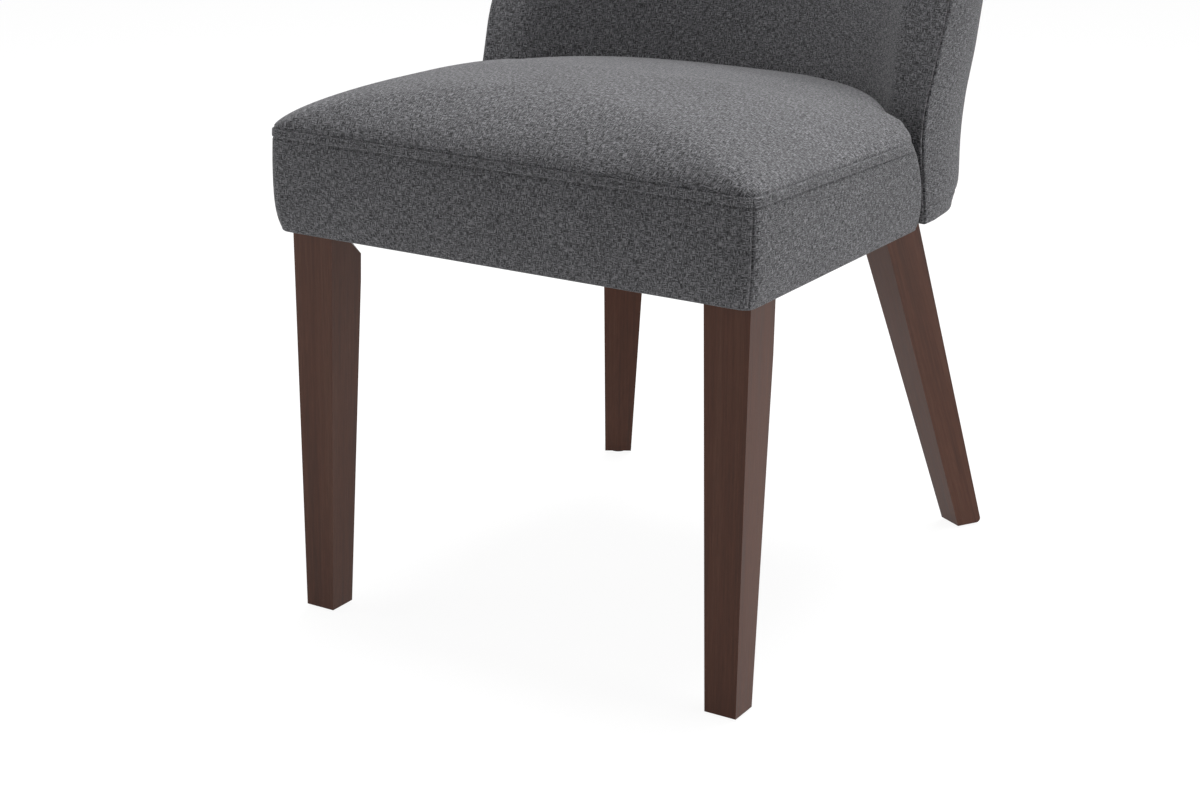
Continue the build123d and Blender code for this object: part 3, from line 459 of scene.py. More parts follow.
def fabric_material(name, dark, middle, light):
    """Linen-look weave: short slubs along both threads, specks and a slow drift of tone."""
    shader = Shader(bpy.data.materials.new(name))
    uv = shader.add("ShaderNodeUVMap", uv_map="cloth")
    weft = shader.stretched(uv, (200.0, 1400.0, 1.0), 1.0, 0.5)
    warp = shader.stretched(uv, (1400.0, 200.0, 1.0), 1.0, 0.5)
    speck = shader.stretched(uv, (1000.0, 1000.0, 1.0), 2.0, 0.6)
    drift = shader.stretched(uv, (14.0, 14.0, 1.0))
    turns = shader.stretched(uv, (400.0, 400.0, 1.0), 1.0)
    choice = shader.ranged(turns, 0.0, 1.0, 0.45, 0.55)
    other = shader.math("MULTIPLY", shader.math("SUBTRACT", warp, weft), choice)
    threads = shader.math("ADD", weft, other)
    value = shader.math("ADD", shader.math("MULTIPLY", threads, 0.85), shader.math("MULTIPLY", speck, 0.15))
    colour = shader.ramp(value, ((0.39, dark), (0.5, middle), (0.61, light)))
    colour = shader.tinted(colour, drift, 0.94, 1.06)
    parts = shader.add("ShaderNodeSeparateXYZ", {"Vector": uv})
    along = parts.node.outputs[0]
    across = parts.node.outputs[1]
    thread_pitch = 0.0011
    wave_number = 2 * pi / thread_pitch
    waves = shader.math(
        "MULTIPLY",
        shader.math("SINE", shader.math("MULTIPLY", along, wave_number)),
        shader.math("SINE", shader.math("MULTIPLY", across, wave_number)),
    )
    height = shader.math("ADD", shader.math("MULTIPLY", waves, 0.25), value)
    sockets = {"Sheen_Weight": 0.08, "Sheen_Roughness": 0.5, "Specular_IOR_Level": 0.2}
    return shader.finish(colour, 0.92, height, 0.4, 0.0003, **sockets)


def wood_material(name, dark, middle, light, rotation, roughness):
    """Wood with long fibres, slow bands and short pores along one axis."""
    shader = Shader(bpy.data.materials.new(name))
    place = shader.add("ShaderNodeTexCoord", output=3)
    turned = shader.scaled(place, (1.0, 1.0, 1.0), rotation)
    fibre = shader.stretched(turned, (420.0, 420.0, 9.0), 4.0, 0.6)
    band = shader.stretched(turned, (60.0, 60.0, 2.2), 3.0, 0.5)
    pore = shader.stretched(turned, (1300.0, 1300.0, 60.0), 2.0, 0.5)
    value = shader.math("ADD", shader.math("MULTIPLY", fibre, 0.5), shader.math("MULTIPLY", band, 0.5))
    colour = shader.ramp(value, ((0.36, dark), (0.5, middle), (0.66, light)))
    colour = shader.tinted(colour, pore, 0.86, 1.1)
    shine = shader.ranged(fibre, roughness, roughness + 0.1)
    height = shader.math("ADD", fibre, shader.math("MULTIPLY", pore, 0.6))
    return shader.finish(colour, shine, height, 0.12, 0.0004, Specular_IOR_Level=0.18)


def strap_material(name, colour):
    """Woven strap with fine ribs."""
    shader = Shader(bpy.data.materials.new(name))
    place = shader.add("ShaderNodeTexCoord", output=3)
    rib = shader.stretched(place, (900.0, 900.0, 900.0))
    tone = shader.tinted(shader.ramp(rib, ((0.0, colour), (1.0, colour))), rib, 0.7, 1.3)
    return shader.finish(tone, 0.9, rib, 0.5, 0.0004)


def mottled_material(name, colour, low, high, roughness, scale, metallic=0.0, bump=0.1):
    """A plain finish with fine mottling."""
    shader = Shader(bpy.data.materials.new(name))
    place = shader.add("ShaderNodeTexCoord", output=3)
    fleck = shader.noise(place, scale, 3.0)
    tone = shader.tinted(shader.ramp(fleck, ((0.0, colour), (1.0, colour))), fleck, low, high)
    rough = shader.ranged(fleck, roughness - 0.06, roughness + 0.06)
    return shader.finish(tone, rough, fleck, bump, 0.0003, Metallic=metallic)


def dress(name, *materials):
    """Give a CAD node its materials in place of the plain ones."""
    slots = nodes[name].data.materials
    slots.clear()
    for material in materials:
        slots.append(material)


upholstery = fabric_material("upholstery", (0.022, 0.022, 0.0235), (0.077, 0.0765, 0.081), (0.2, 0.199, 0.21))
thread_material = mottled_material("thread", (0.045, 0.045, 0.047), 0.8, 1.2, 0.8, 1500.0)

leg_dark = (0.048, 0.019, 0.0118)
leg_middle = (0.068, 0.025, 0.0145)
leg_light = (0.080, 0.034, 0.021)
edge_dark = (0.13, 0.050, 0.022)
edge_middle = (0.21, 0.088, 0.038)
edge_light = (0.29, 0.13, 0.06)
splay_run = 0.122
splay_rise = 0.355
splay = splay_run / splay_rise
leg_yaw = radians(31.2)
leg_axes = {
    "front_left_leg": Vector((0.0, 0.0, 1.0)),
    "front_right_leg": Vector((0.0, 0.0, 1.0)),
    "rear_left_leg": Vector((-splay * sin(leg_yaw), -splay * cos(leg_yaw), 1.0)),
    "rear_right_leg": Vector((splay * sin(leg_yaw), -splay * cos(leg_yaw), 1.0)),
}
edge_bevel = 0.0011
for leg, axis in leg_axes.items():
    turn = axis.normalized().rotation_difference(Vector((0.0, 0.0, 1.0))).to_euler()
    body = wood_material(leg + "_wood", leg_dark, leg_middle, leg_light, turn, 0.36)
    worn = wood_material(leg + "_edge", edge_dark, edge_middle, edge_light, turn, 0.34)
    dress(leg, body, worn)
    weld = nodes[leg].modifiers.new("weld", "WELD")
    weld.merge_threshold = merge_distance
    bevel = nodes[leg].modifiers.new("edges", "BEVEL")
    bevel.width = edge_bevel
    bevel.segments = 2
    bevel.limit_method = "ANGLE"
    bevel.angle_limit = radians(35)
    bevel.material = 1

beech = ((0.42, 0.27, 0.15), (0.52, 0.35, 0.2), (0.6, 0.43, 0.27))
frame_wood = {
    "upright": wood_material("frame_wood_upright", *beech, (0, 0, 0), 0.6),
    "crosswise": wood_material("frame_wood_crosswise", *beech, (0, radians(90), 0), 0.6),
    "lengthwise": wood_material("frame_wood_lengthwise", *beech, (radians(90), 0, 0), 0.6),
}
board_wood = wood_material(
    "board_wood", (0.36, 0.23, 0.12), (0.46, 0.31, 0.17), (0.55, 0.39, 0.23), (0, radians(90), 0), 0.55
)
slot_materials = {
    "board_wood": board_wood,
    "webbing": strap_material("webbing", (0.02, 0.019, 0.018)),
    "dust_cloth": mottled_material("dust_cloth", (0.012, 0.012, 0.012), 0.6, 1.5, 0.95, 900.0, bump=0.4),
    "zinc_steel": mottled_material("zinc_steel", (0.55, 0.55, 0.56), 0.8, 1.1, 0.34, 500.0, metallic=1.0),
    "glide_plastic": mottled_material("glide_plastic", (0.012, 0.012, 0.012), 0.8, 1.3, 0.5, 1200.0),
}
grain_ways = {
    "left_side_rail": "lengthwise",
    "right_side_rail": "lengthwise",
    "back_left_post": "upright",
    "back_right_post": "upright",
}
for subpart in frame["record"]["subparts"]:
    name = subpart["node"]
    slot = subpart["material_slot"]
    if slot == "frame_wood":
        finish_material = frame_wood[grain_ways.get(name, "crosswise")]
    elif slot in slot_materials:
        finish_material = slot_materials[slot]
    else:
        continue
    dress(name, finish_material)

# Seat: closed rows of points from the turned hem up the boxing, over the seam and in to the middle
front_columns = 40
corner_columns = 16
side_columns = 58
fold_columns = 8
knee_columns = 5
tuck_columns = 5
return_columns = 3
arc_columns = 40
return_end = (tuck_end[0], seat_rear_centre + sqrt(seat_rear_radius**2 - tuck_end[0] ** 2))


def seam_level(depth):
    return seam_height - seat_slope * depth


def half_width(depth, inset):
    return seat_half_width - inset + seat_flare * depth / boxing_length


def boxing_end(height):
    share = np.clip((height - hem_height) / (seam_height - hem_height - boxing_draw_drop), 0.0, 1.0)
    return boxing_length - boxing_seam_draw * share**boxing_draw_power


def run(start, end, count):
    """Points from a start towards an end, which isn't one of them."""
    shares = np.arange(count)[:, None] / count
    return np.array(start) + shares * (np.array(end) - np.array(start))


def turn_run(centre, radius, start, end, count, gathered=False):
    """Points along an arc, whose end isn't one of them, evenly or gathered at its middle."""
    shares = np.arange(count) / count
    if gathered:
        shares = 0.5 + (2 * shares - 1) * np.abs(2 * shares - 1) / 2
    angles = start + (end - start) * shares
    return circle_points(centre, radius, angles)


def seat_half_outline(inset, rear_end):
    """Half of the seat's outline, from the middle of the front round to the middle of the rear."""
    corner = (half_width(inset + seat_corner, inset) - seat_corner, inset + seat_corner)
    side_end = rear_end - fold_round
    fold = (half_width(side_end, inset) - fold_round, side_end)
    arc_start = np.arctan2(return_end[1] - seat_rear_centre, tuck_end[0])
    return np.concatenate(
        (
            run((0.0, inset), (corner[0], inset), front_columns),
            turn_run(corner, seat_corner, -pi / 2, 0.0, corner_columns, True),
            run((corner[0] + seat_corner, corner[1]), (fold[0] + fold_round, fold[1]), side_columns),
            turn_run(fold, fold_round, 0.0, pi / 2, fold_columns),
            run((fold[0], rear_end), tuck_knee, knee_columns),
            run(tuck_knee, tuck_end, tuck_columns),
            run(tuck_end, return_end, return_columns),
            turn_run((0.0, seat_rear_centre), seat_rear_radius, arc_start, pi / 2, arc_columns),
            [(0.0, seat_rear_centre + seat_rear_radius)],
        )
    )


fold_start = front_columns + corner_columns + side_columns
tuck_start = fold_start + fold_columns
rear_start = tuck_start + knee_columns + tuck_columns + return_columns + 1
corner_middle = front_columns + corner_columns // 2


def whole_loop(half):
    """A closed loop from half of it, which starts and ends in the middle."""
    return np.concatenate((half, half[-2:0:-1] * mirror_x))


side_rear = boxing_end(seam_height)
rear_edge = (
    (half_width(side_rear, 0.0), side_rear),
    (half_width(side_rear, fold_round), side_rear),
    tuck_knee,
    tuck_end,
    return_end,
)


def edge_distance(x, depth, start, end):
    """Distance from points on either half of the seat to a straight piece of its rear edge."""
    run_x = end[0] - start[0]
    run_y = end[1] - start[1]
    off_x = np.abs(x) - start[0]
    off_y = depth - start[1]
    share = np.clip((off_x * run_x + off_y * run_y) / (run_x**2 + run_y**2), 0.0, 1.0)
    return np.hypot(off_x - share * run_x, off_y - share * run_y)


def inside_contour(x, depth, step):
    """Whether points lie inside the seat's outline moved in by a step, with corners that grow rounder."""
    half = half_width(depth, seam_draw) - step
    front = seam_draw + crown_front_share * step
    gain = crown_corner_gain * (1 - np.exp(-step / crown_corner_reach))
    corner = seat_corner + gain + crown_corner_growth * step
    corner = np.minimum(corner, crown_corner_most * np.maximum(half, 0.0))
    aside = np.abs(x) - (half - corner)
    ahead = front + corner - depth
    rounded = (aside > 0) & (ahead > 0)
    return np.where(rounded, np.hypot(aside, ahead) <= corner, (np.abs(x) <= half) & (depth >= front))


def crown_share(x, depth):
    """Share of the crown's rise: contours from the front and sides, then the fall to the back."""
    half = half_width(depth, seam_draw)
    low = np.zeros_like(x)
    high = np.array(half)
    for halving in range(24):
        step = (low + high) / 2
        inside = inside_contour(x, depth, step)
        low = np.where(inside, step, low)
        high = np.where(inside, high, step)
    edge = (1 - (1 - low / half) ** crown_edge_power) ** (1 / crown_round_power)
    rear = 1 - (np.clip(depth - crown_peak, 0.0, None) / crown_rear_reach) ** crown_rear_power
    to_arc = seat_rear_radius - np.hypot(x, np.maximum(depth - seat_rear_centre, 0.0))
    to_rear = np.where(np.abs(x) > tuck_end[0], crown_rear_round, to_arc)
    for start, end in zip(rear_edge, rear_edge[1:]):
        to_rear = np.minimum(to_rear, edge_distance(x, depth, start, end))
    fall = 1 - np.clip(to_rear / crown_rear_round, 0.0, 1.0)
    weight = smooth_step((np.abs(x) - crown_round_start) / (crown_round_full - crown_round_start))
    kept = np.sqrt(np.clip(1 - fall**2, 0.0, 1.0))
    from_knee = np.hypot(np.abs(x) - tuck_knee[0], depth - tuck_knee[1])
    sunk = tuck_sink / crown_rise * (1 - smooth_step(from_knee / tuck_sink_reach))
    return edge * rear * (1 - weight * (1 - kept)) - sunk


seam_outline = seat_half_outline(seam_draw, boxing_end(seam_height))
half_count = len(seam_outline)
column_index = np.arange(half_count)
edge_share = crown_share(seam_outline[:, 0], seam_outline[:, 1])
is_boxed = column_index <= fold_start
top_level = seam_level(seam_outline[:, 1]) + np.where(is_boxed, 0.0, crown_rise * edge_share)
base_level = np.where(column_index < rear_start, hem_height, deck_height)

# Rows of the boxing: drops below the seam in metres, then shares of what is left down to the hem
near_drops = np.array([0.0, 0.5, 1.1, 2.0, 3.4, 5.0, 6.5, 7.4, 8.0, 8.6, 9.5, 11.0, 14.0]) / 1000
far_shares = np.array([0.06, 0.13, 0.21, 0.3, 0.39, 0.48, 0.57, 0.66, 0.74, 0.81, 0.87, 0.92, 0.96, 1.0])
lowest_drop = near_drops[-1]
boxing_rows = [(drop, 0.0) for drop in near_drops] + [(lowest_drop, share) for share in far_shares]
boxing_rows.reverse()
seat_rows = []
for drop, share in boxing_rows:
    wall = top_level - base_level - hem_round
    near = drop * np.minimum(1.0, wall / short_wall)
    lowest = lowest_drop * np.minimum(1.0, wall / short_wall)
    height = top_level - near - share * (wall - lowest)
    rise = (height[0] - hem_height) / (seam_height - hem_height)
    inset = hem_draw * (1 - rise) ** hem_draw_power + seam_draw * rise**seam_draw_power
    outline = seat_half_outline(inset, boxing_end(height[fold_start]))
    seat_rows.append(np.column_stack((outline, height)))
hem_row = seat_rows[0]

# Rows below the boxing: round the hem and under it, as far as the legs leave room
under_most = np.where(column_index < fold_start, hem_turn, cover)
under_rows = hem_rows(hem_row, (0, 1.0), 1, hem_round, (0.15, 0.5, 1.0), under_most)
under_count = len(under_rows)
seat_rows = under_rows + seat_rows
seam_row = len(seat_rows) - 1

# Rows of the crown, close together by the seam where it starts upright
crown_angles = np.radians(np.concatenate(([0.8, 1.6, 2.6, 4.0, 5.6], np.arange(7.5, 88.0, 2.5))))
held_share = np.where(is_boxed, edge_share, 0.0)
for angle in crown_angles:
    scale = cos(angle)
    centre = np.array((0.0, crown_centre))
    spot = centre + (seam_outline - centre) * scale
    share = crown_share(spot[:, 0], spot[:, 1]) - held_share * scale**crown_seam_power
    height = seam_level(spot[:, 1]) + crown_rise * share
    seat_rows.append(np.column_stack((spot, height)))

seat_grid = np.array([whole_loop(row) for row in seat_rows])
seat_grid[:, :, 1] += seat_front
row_count, column_count = seat_grid.shape[:2]
mirror_index = np.concatenate((column_index, column_index[-2:0:-1]))

# Swelling of the padding, held along the seams, the hem and where it is tucked in
held = np.zeros((row_count, column_count), bool)
held[: under_count + 2] = True
held[seam_row - 1 : seam_row + 2] = True
held[:, (mirror_index >= fold_start)] = True
held[: seam_row + 1, mirror_index == corner_middle] = True
crown_rows = range(seam_row + 1, row_count - 4, 2)
swell_rows = [*range(under_count, seam_row, 2), seam_row, *crown_rows]
side_start = front_columns + corner_columns
swell_marks = set(range(0, front_columns + 1, 4)) | {corner_middle} | set(range(side_start, half_count, 4))
swell_columns = np.flatnonzero(np.isin(mirror_index, sorted(swell_marks)))
row_run = run_lengths(seat_grid)
from_sewn = np.abs(row_run - row_run[seam_row])
from_fold = column_distance(seat_grid, fold_start)
fade = smooth_step(from_sewn / seat_fade) * smooth_step(from_fold / seat_fade)
seat_grid = plumped_grid(seat_grid, swell_rows, swell_columns, held, fade, seat_swell, True)

# Grooves and puckers along the sewn lines
seat_faces = grid_faces(row_count, column_count, True)
middle_point = seat_grid[-1].mean(axis=0)
middle_index = row_count * column_count
last_row = (row_count - 1) * column_count
for column in range(column_count):
    seat_faces.append((last_row + column, last_row + (column + 1) % column_count, middle_index))
seat_points = np.concatenate((seat_grid.reshape(-1, 3), [middle_point]))
seat_normals = vertex_normals(seat_points, seat_faces)
below_seam = (seat_grid[seam_row][None, :, 2] - seat_grid[:, :, 2]).clip(0.0, None)
above_seam = (seat_grid[:, :, 2] - seat_grid[seam_row][None, :, 2]).clip(0.0, None)
seam_distance = np.where(np.arange(row_count)[:, None] <= seam_row, below_seam, above_seam)
boxed = (mirror_index < fold_start)[None, :] & (np.arange(row_count)[:, None] >= under_count)
below = np.arange(row_count)[:, None] <= seam_row


def waver(count, terms, longest):
    """A smooth uneven wave round a loop, from -1 to 1."""
    places = np.arange(count) / count * 2 * pi
    total = np.zeros(count)
    for term in range(terms):
        turns = rng.integers(longest, longest * 6)
        total += np.sin(turns * places + rng.uniform(0, 2 * pi))
    return total / terms**0.5 / 1.6


pucker = waver(column_count, 9, 14)
seam_rise = np.where(below, -below_seam, above_seam)
detail = -seam_groove * hump(seam_rise - seam_lip, seam_lip)
detail = detail - stitch_groove * hump(below_seam - stitch_drop, seam_lip) * below
band_end = smooth_step((below_seam - stitch_drop + band_edge) / band_edge)
band = smooth_step(below_seam / seam_lip) * (1 - band_end)
detail = detail + stitch_band * band * below
detail = detail + seam_pucker * pucker[None, :] * hump(seam_distance, pucker_reach)
corner_distance = column_distance(seat_grid[:, :, :2], corner_middle)
under_stitch = below & (below_seam > corner_groove_start)
detail = detail - corner_groove * hump(corner_distance, corner_groove_width) * under_stitch
detail = np.where(boxed, detail, 0.0)
outer_points = seat_points.copy()
outer_points[:middle_index] += seat_normals[:middle_index] * detail.reshape(-1, 1)

thickness = np.full((row_count, column_count), seat_shell)
thickness[: under_count + 1] = cover
thickness[:, (mirror_index > tuck_start)] = cover
thickness = np.append(thickness.ravel(), seat_shell)
inner_points = seat_points - seat_normals * thickness[:, None]

hem_map_run = 0.03
crown_map_start = (2.0, 0.0)
back_map_start = (5.0, 0.0)
girth = run_lengths(seam_outline)
around = np.concatenate((girth, 2 * girth[-1] - girth[-2:0:-1]))
boxing_uv = np.column_stack((np.tile(around, row_count), seat_grid[:, :, 2].ravel()))
hem_map = np.linspace(hem_map_run, 0.0, under_count)
boxing_uv[: under_count * column_count, 1] -= np.repeat(hem_map, column_count)
boxing_uv = np.concatenate((boxing_uv, [(0.0, 0.0)]))
crown_line = np.concatenate((seat_grid, np.broadcast_to(middle_point, (1, column_count, 3))))
crown_steps = np.linalg.norm(np.diff(crown_line, axis=0), axis=2)
crown_run = np.cumsum(crown_steps[::-1], axis=0)[::-1]
crown_way = seat_grid[seam_row, :, :2] - middle_point[:2]
crown_way /= np.linalg.norm(crown_way, axis=1, keepdims=True)
crown_uv = (crown_run[:, :, None] * crown_way[None]).reshape(-1, 2)
crown_uv = np.concatenate((crown_uv, [(0.0, 0.0)])) + np.array(crown_map_start)
loop_length = 2 * girth[-1]


def seat_uv(face, index):
    if face is None or min(face) >= seam_row * column_count:
        return crown_uv[index]
    u, v = boxing_uv[index]
    wraps = max(boxing_uv[i][0] for i in face) - min(boxing_uv[i][0] for i in face) > loop_length / 2
    if wraps and u < loop_length / 2:
        u += loop_length
    return (u, v)


seat = make_shell("seat", outer_points, inner_points, seat_faces, seat_uv, upholstery)
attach(seat, "root")
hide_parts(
    "seat_foam",
    "seat_edge_padding",
    "seat_top_panel",
    "seat_front_boxing",
    "seat_left_boxing",
    "seat_right_boxing",
)


# Topstitching: short threads along the line below the seat's seam
stitch_row = seam_row - int(np.argmin(np.abs(near_drops - stitch_drop)))
stitch_columns = np.concatenate((column_count - np.arange(fold_start, 0, -1), np.arange(fold_start + 1)))
stitch_index = stitch_row * column_count + stitch_columns
stitch_line = outer_points[stitch_index]
stitch_way = seat_normals[stitch_index]
stitch_run = run_lengths(stitch_line)
stitch_shares = np.array([0.0, 0.15, 0.5, 0.85, 1.0])
stitch_lifts = (-0.6, 0.1, 0.4, 0.1, -0.6)
stitch_points = []
stitch_faces = []
ring = np.arange(4)
for start in np.arange(stitch_pitch, stitch_run[-1] - stitch_pitch, stitch_pitch):
    places = start + stitch_length * stitch_shares
    centres = between(places, stitch_run, stitch_line)
    outward = between(places, stitch_run, stitch_way)
    outward /= np.linalg.norm(outward, axis=1, keepdims=True)
    forward = centres[-1] - centres[0]
    across = np.cross(outward, forward / np.linalg.norm(forward))
    first = len(stitch_points)
    for number, lift in enumerate(stitch_lifts):
        centre = centres[number] + outward[number] * stitch_width * lift
        for turn in (across[number], outward[number], -across[number], -outward[number]):
            stitch_points.append(centre + turn * stitch_width / 2)
    for number in range(len(stitch_lifts) - 1):
        low = first + 4 * number
        for side in ring:
            after = (side + 1) % 4
            stitch_faces.append((low + side, low + after, low + 4 + after, low + 4 + side))
    stitch_faces.append(tuple(first + ring[::-1]))
    stitch_faces.append(tuple(low + 4 + ring))
stitch_uvs = np.zeros((sum(len(face) for face in stitch_faces), 2))
stitches = make_piece("seat_topstitching", stitch_points, stitch_faces, stitch_uvs, thread_material)
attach(stitches, "root")

# Dust sheet: the CAD sheet's lower face, cut finer and sagging between its staples
sheet_mesh = bmesh.new()
sheet_mesh.from_mesh(nodes["dust_cover"].data)
bmesh.ops.remove_doubles(sheet_mesh, verts=sheet_mesh.verts, dist=merge_distance)
down_facing = -0.9
upper = [face for face in sheet_mesh.faces if face.normal.z > down_facing]
bmesh.ops.delete(sheet_mesh, geom=upper, context="FACES")
for halving in range(6):
    long_edges = [edge for edge in sheet_mesh.edges if edge.calc_length() > dust_step]
    bmesh.ops.subdivide_edges(sheet_mesh, edges=long_edges, cuts=1)
    bmesh.ops.triangulate(sheet_mesh, faces=sheet_mesh.faces)
sheet_mesh.verts.index_update()
rim = [vertex for vertex in sheet_mesh.verts if vertex.is_boundary]
rim_tree = KDTree(len(rim))
for number, vertex in enumerate(rim):
    rim_tree.insert(vertex.co, number)
rim_tree.balance()
from_rim = np.array([rim_tree.find(vertex.co)[2] for vertex in sheet_mesh.verts])
sheet_low = np.array([tuple(vertex.co) for vertex in sheet_mesh.verts])
sheet_low[:, 2] -= dust_sag * (1 - np.exp(-from_rim / dust_step))
sheet_faces = [tuple(vertex.index for vertex in face.verts) for face in sheet_mesh.faces]
sheet_area = sum(face.calc_area() for face in sheet_mesh.faces)
sheet_mesh.free()
sheet_high = sheet_low + np.array((0.0, 0.0, dust_thickness))
dust_sheet = make_shell(
    "dust_sheet",
    sheet_low,
    sheet_high,
    sheet_faces,
    lambda face, index: sheet_low[index, :2],
    slot_materials["dust_cloth"],
)
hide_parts("dust_cover")
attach(dust_sheet, "root")


# Back: outlines at a height, the inside one round both wings' noses and the outside one round the rear
def eased(value, width):
    """A ramp that starts softly at zero."""
    if value < -width:
        return 0.0
    if value < width:
        return (value + width) ** 2 / (4 * width)
    return value


def lean_share(height):
    start = eased(height - wing_lean_start, recline_ease)
    end = eased(height - wing_lean_end, recline_ease)
    return (start - end) / (wing_lean_end - wing_lean_start)


def wing_seam_depth(height):
    """Depth of a wing's seam: folded back below the seat's top, upright beside it, then leaning back."""
    fold = eased(wing_fold_height - height, recline_ease) / (wing_fold_height - hem_height)
    slope = (wing_seam_high - wing_seam_low) / (wing_lean_end - wing_seam_lean)
    lean = slope * eased(height - wing_seam_lean, recline_ease)
    lean -= (slope - recline_slope) * eased(height - wing_lean_end, recline_ease)
    return wing_seam_low + (wing_seam_hem - wing_seam_low) * fold + lean


def top_inset(height, radius):
    drop = min(radius, max(0.0, radius - (overall_height - height)))
    return radius - sqrt(radius**2 - drop**2)


def arc_through(first, second, third, count):
    """Points from the first to the third along the circle through three points."""
    ax, ay = first
    bx, by = second
    cx, cy = third
    d = 2 * (ax * (by - cy) + bx * (cy - ay) + cx * (ay - by))
    a2, b2, c2 = ax**2 + ay**2, bx**2 + by**2, cx**2 + cy**2
    ux = (a2 * (by - cy) + b2 * (cy - ay) + c2 * (ay - by)) / d
    uy = (a2 * (cx - bx) + b2 * (ax - cx) + c2 * (bx - ax)) / d
    angles = np.unwrap([np.arctan2(point[1] - uy, point[0] - ux) for point in (first, second, third)])
    span = np.linspace(angles[0], angles[2], count)
    radius = np.hypot(ax - ux, ay - uy)
    return circle_points((ux, uy), radius, span)


nose_steps = 60
arc_steps = 200
nose_shares = np.array([0.0, 0.012, 0.03, 0.06, 0.1, 0.16, 0.24, 0.32, 0.4, 0.5, 0.6, 0.7, 0.8, 0.9])
arc_count = 48
side_shares = np.array([0.0, 0.012, 0.03, 0.07, 0.14, 0.25, 0.4, 0.55, 0.7, 0.85])
turn_count = 16
rear_count = 36
ease_window = np.hanning(17)[1:-1]
ease_window /= ease_window.sum()


def softened(points):
    """A line of points with its corners eased and its ends kept."""
    reach = len(ease_window) // 2
    before = 2 * points[0] - points[reach:0:-1]
    after = 2 * points[-1] - points[-2 : -reach - 2 : -1]
    padded = np.concatenate((before, points, after))
    columns = [np.convolve(padded[:, axis], ease_window, "valid") for axis in range(2)]
    return np.stack(columns, axis=1)


def back_lines(height):
    """Inside and outside half outlines at a height, both from the wing's seam to the middle."""
    edge = top_inset(height, top_edge_radius)
    flare = back_flare * float(smooth_step((height - back_flare_start) / back_flare_reach))
    half = back_half_width + flare - top_inset(height, top_corner_radius)
    shift = eased(height - recline_start, recline_ease) * recline_slope
    radius = inside_radius + edge
    drawn_in = wing_tip_low + (wing_tip_high - wing_tip_low) * lean_share(height)
    plain_tip = back_half_width - drawn_in
    tip_x = half - flare - drawn_in
    tip_y = sqrt(radius**2 - tip_x**2)
    centre = inside_centre + shift
    tip = (tip_x, centre + tip_y)
    set_back = tip_y - sqrt(inside_radius**2 - plain_tip**2) + wing_edge_back
    seam = (half - wing_edge_in, wing_seam_depth(height) + set_back - flare_lead * flare)
    recess = wing_recess * smooth_step((wing_fold_height - height) / recline_ease)
    nose = ((tip_x + half) / 2, (tip[1] + seam[1]) / 2 - wing_bulge + recess)
    side_y = max(back_side_length + shift, seam[1] + back_side_least)
    rear_y = back_depth + shift - edge
    ratio = (1 - sin(back_corner_turn)) / cos(back_corner_turn)
    side_x = half - tan(side_taper) * (side_y - seam[1])
    corner_r = (rear_y - side_y - ratio * side_x) / (1 - sin(side_taper) - ratio * cos(side_taper))
    corner_centre = (side_x - corner_r * cos(side_taper), side_y - corner_r * sin(side_taper))
    nose_line = arc_through(seam, nose, tip, nose_steps + 1)
    arc_line = arc_through(tip, (0.0, centre + radius), (-tip[0], tip[1]), 2 * arc_steps + 1)
    other_nose = nose_line[::-1] * mirror_x[:2]
    line = softened(np.concatenate((nose_line[:-1], arc_line, other_nose[1:])))
    places = np.concatenate(
        (nose_shares * nose_steps, nose_steps + np.arange(arc_count + 1) * arc_steps / arc_count)
    )
    inside = between(places, np.arange(len(line)), line)
    inside[-1, 0] = 0.0
    angles = side_taper + (back_corner_turn - side_taper) * np.arange(turn_count) / turn_count
    corner = circle_points(corner_centre, corner_r, angles)
    corner_end = circle_points(corner_centre, corner_r, back_corner_turn)
    rear = arc_through(corner_end, (0.0, rear_y), corner_end * mirror_x[:2], 2 * rear_count + 1)
    side_run = side_shares * (side_y - seam[1])
    side_in = wing_edge_in * np.clip(1 - side_run / wing_edge_round, 0.0, 1.0) ** wing_edge_power
    side = np.stack((half - tan(side_taper) * side_run - side_in, seam[1] + side_run), axis=1)
    outside = np.concatenate((side, corner, rear[: rear_count + 1]))
    outside[-1, 0] = 0.0
    draw = back_hem_draw * np.clip(1 - (height - hem_height) / back_hem_height, 0.0, 1.0)
    narrowed = np.array((1 - draw / half, 1 - draw / back_half_depth))
    held_point = np.array((0.0, back_middle + shift))
    return held_point + (inside - held_point) * narrowed, held_point + (outside - held_point) * narrowed


lines_at = {}


def back_half(height, which):
    key = round(float(height), 7)
    if key not in lines_at:
        lines_at[key] = back_lines(key)
    return lines_at[key][which]


def whole_line(half):
    """A line from one wing's seam to the other's, from half of it."""
    return np.concatenate((half, half[-2::-1] * mirror_x))


back_columns = 2 * (len(nose_shares) + arc_count) + 1
half_back = back_columns // 2
from_seam = np.minimum(np.arange(back_columns), back_columns - 1 - np.arange(back_columns))
top_reach_columns = 16
top_reach = smooth_step(np.arange(half_back + 1) / top_reach_columns)
seam_end_level = overall_height - top_edge_drop * top_reach


def level_row(height, which):
    outline = back_half(height, which)
    return np.column_stack((outline, np.full(len(outline), height)))


def varied_row(heights, which):
    """A row whose height differs from column to column."""
    spots = [back_half(height, which)[column] for column, height in enumerate(heights)]
    return np.column_stack((np.array(spots), heights))


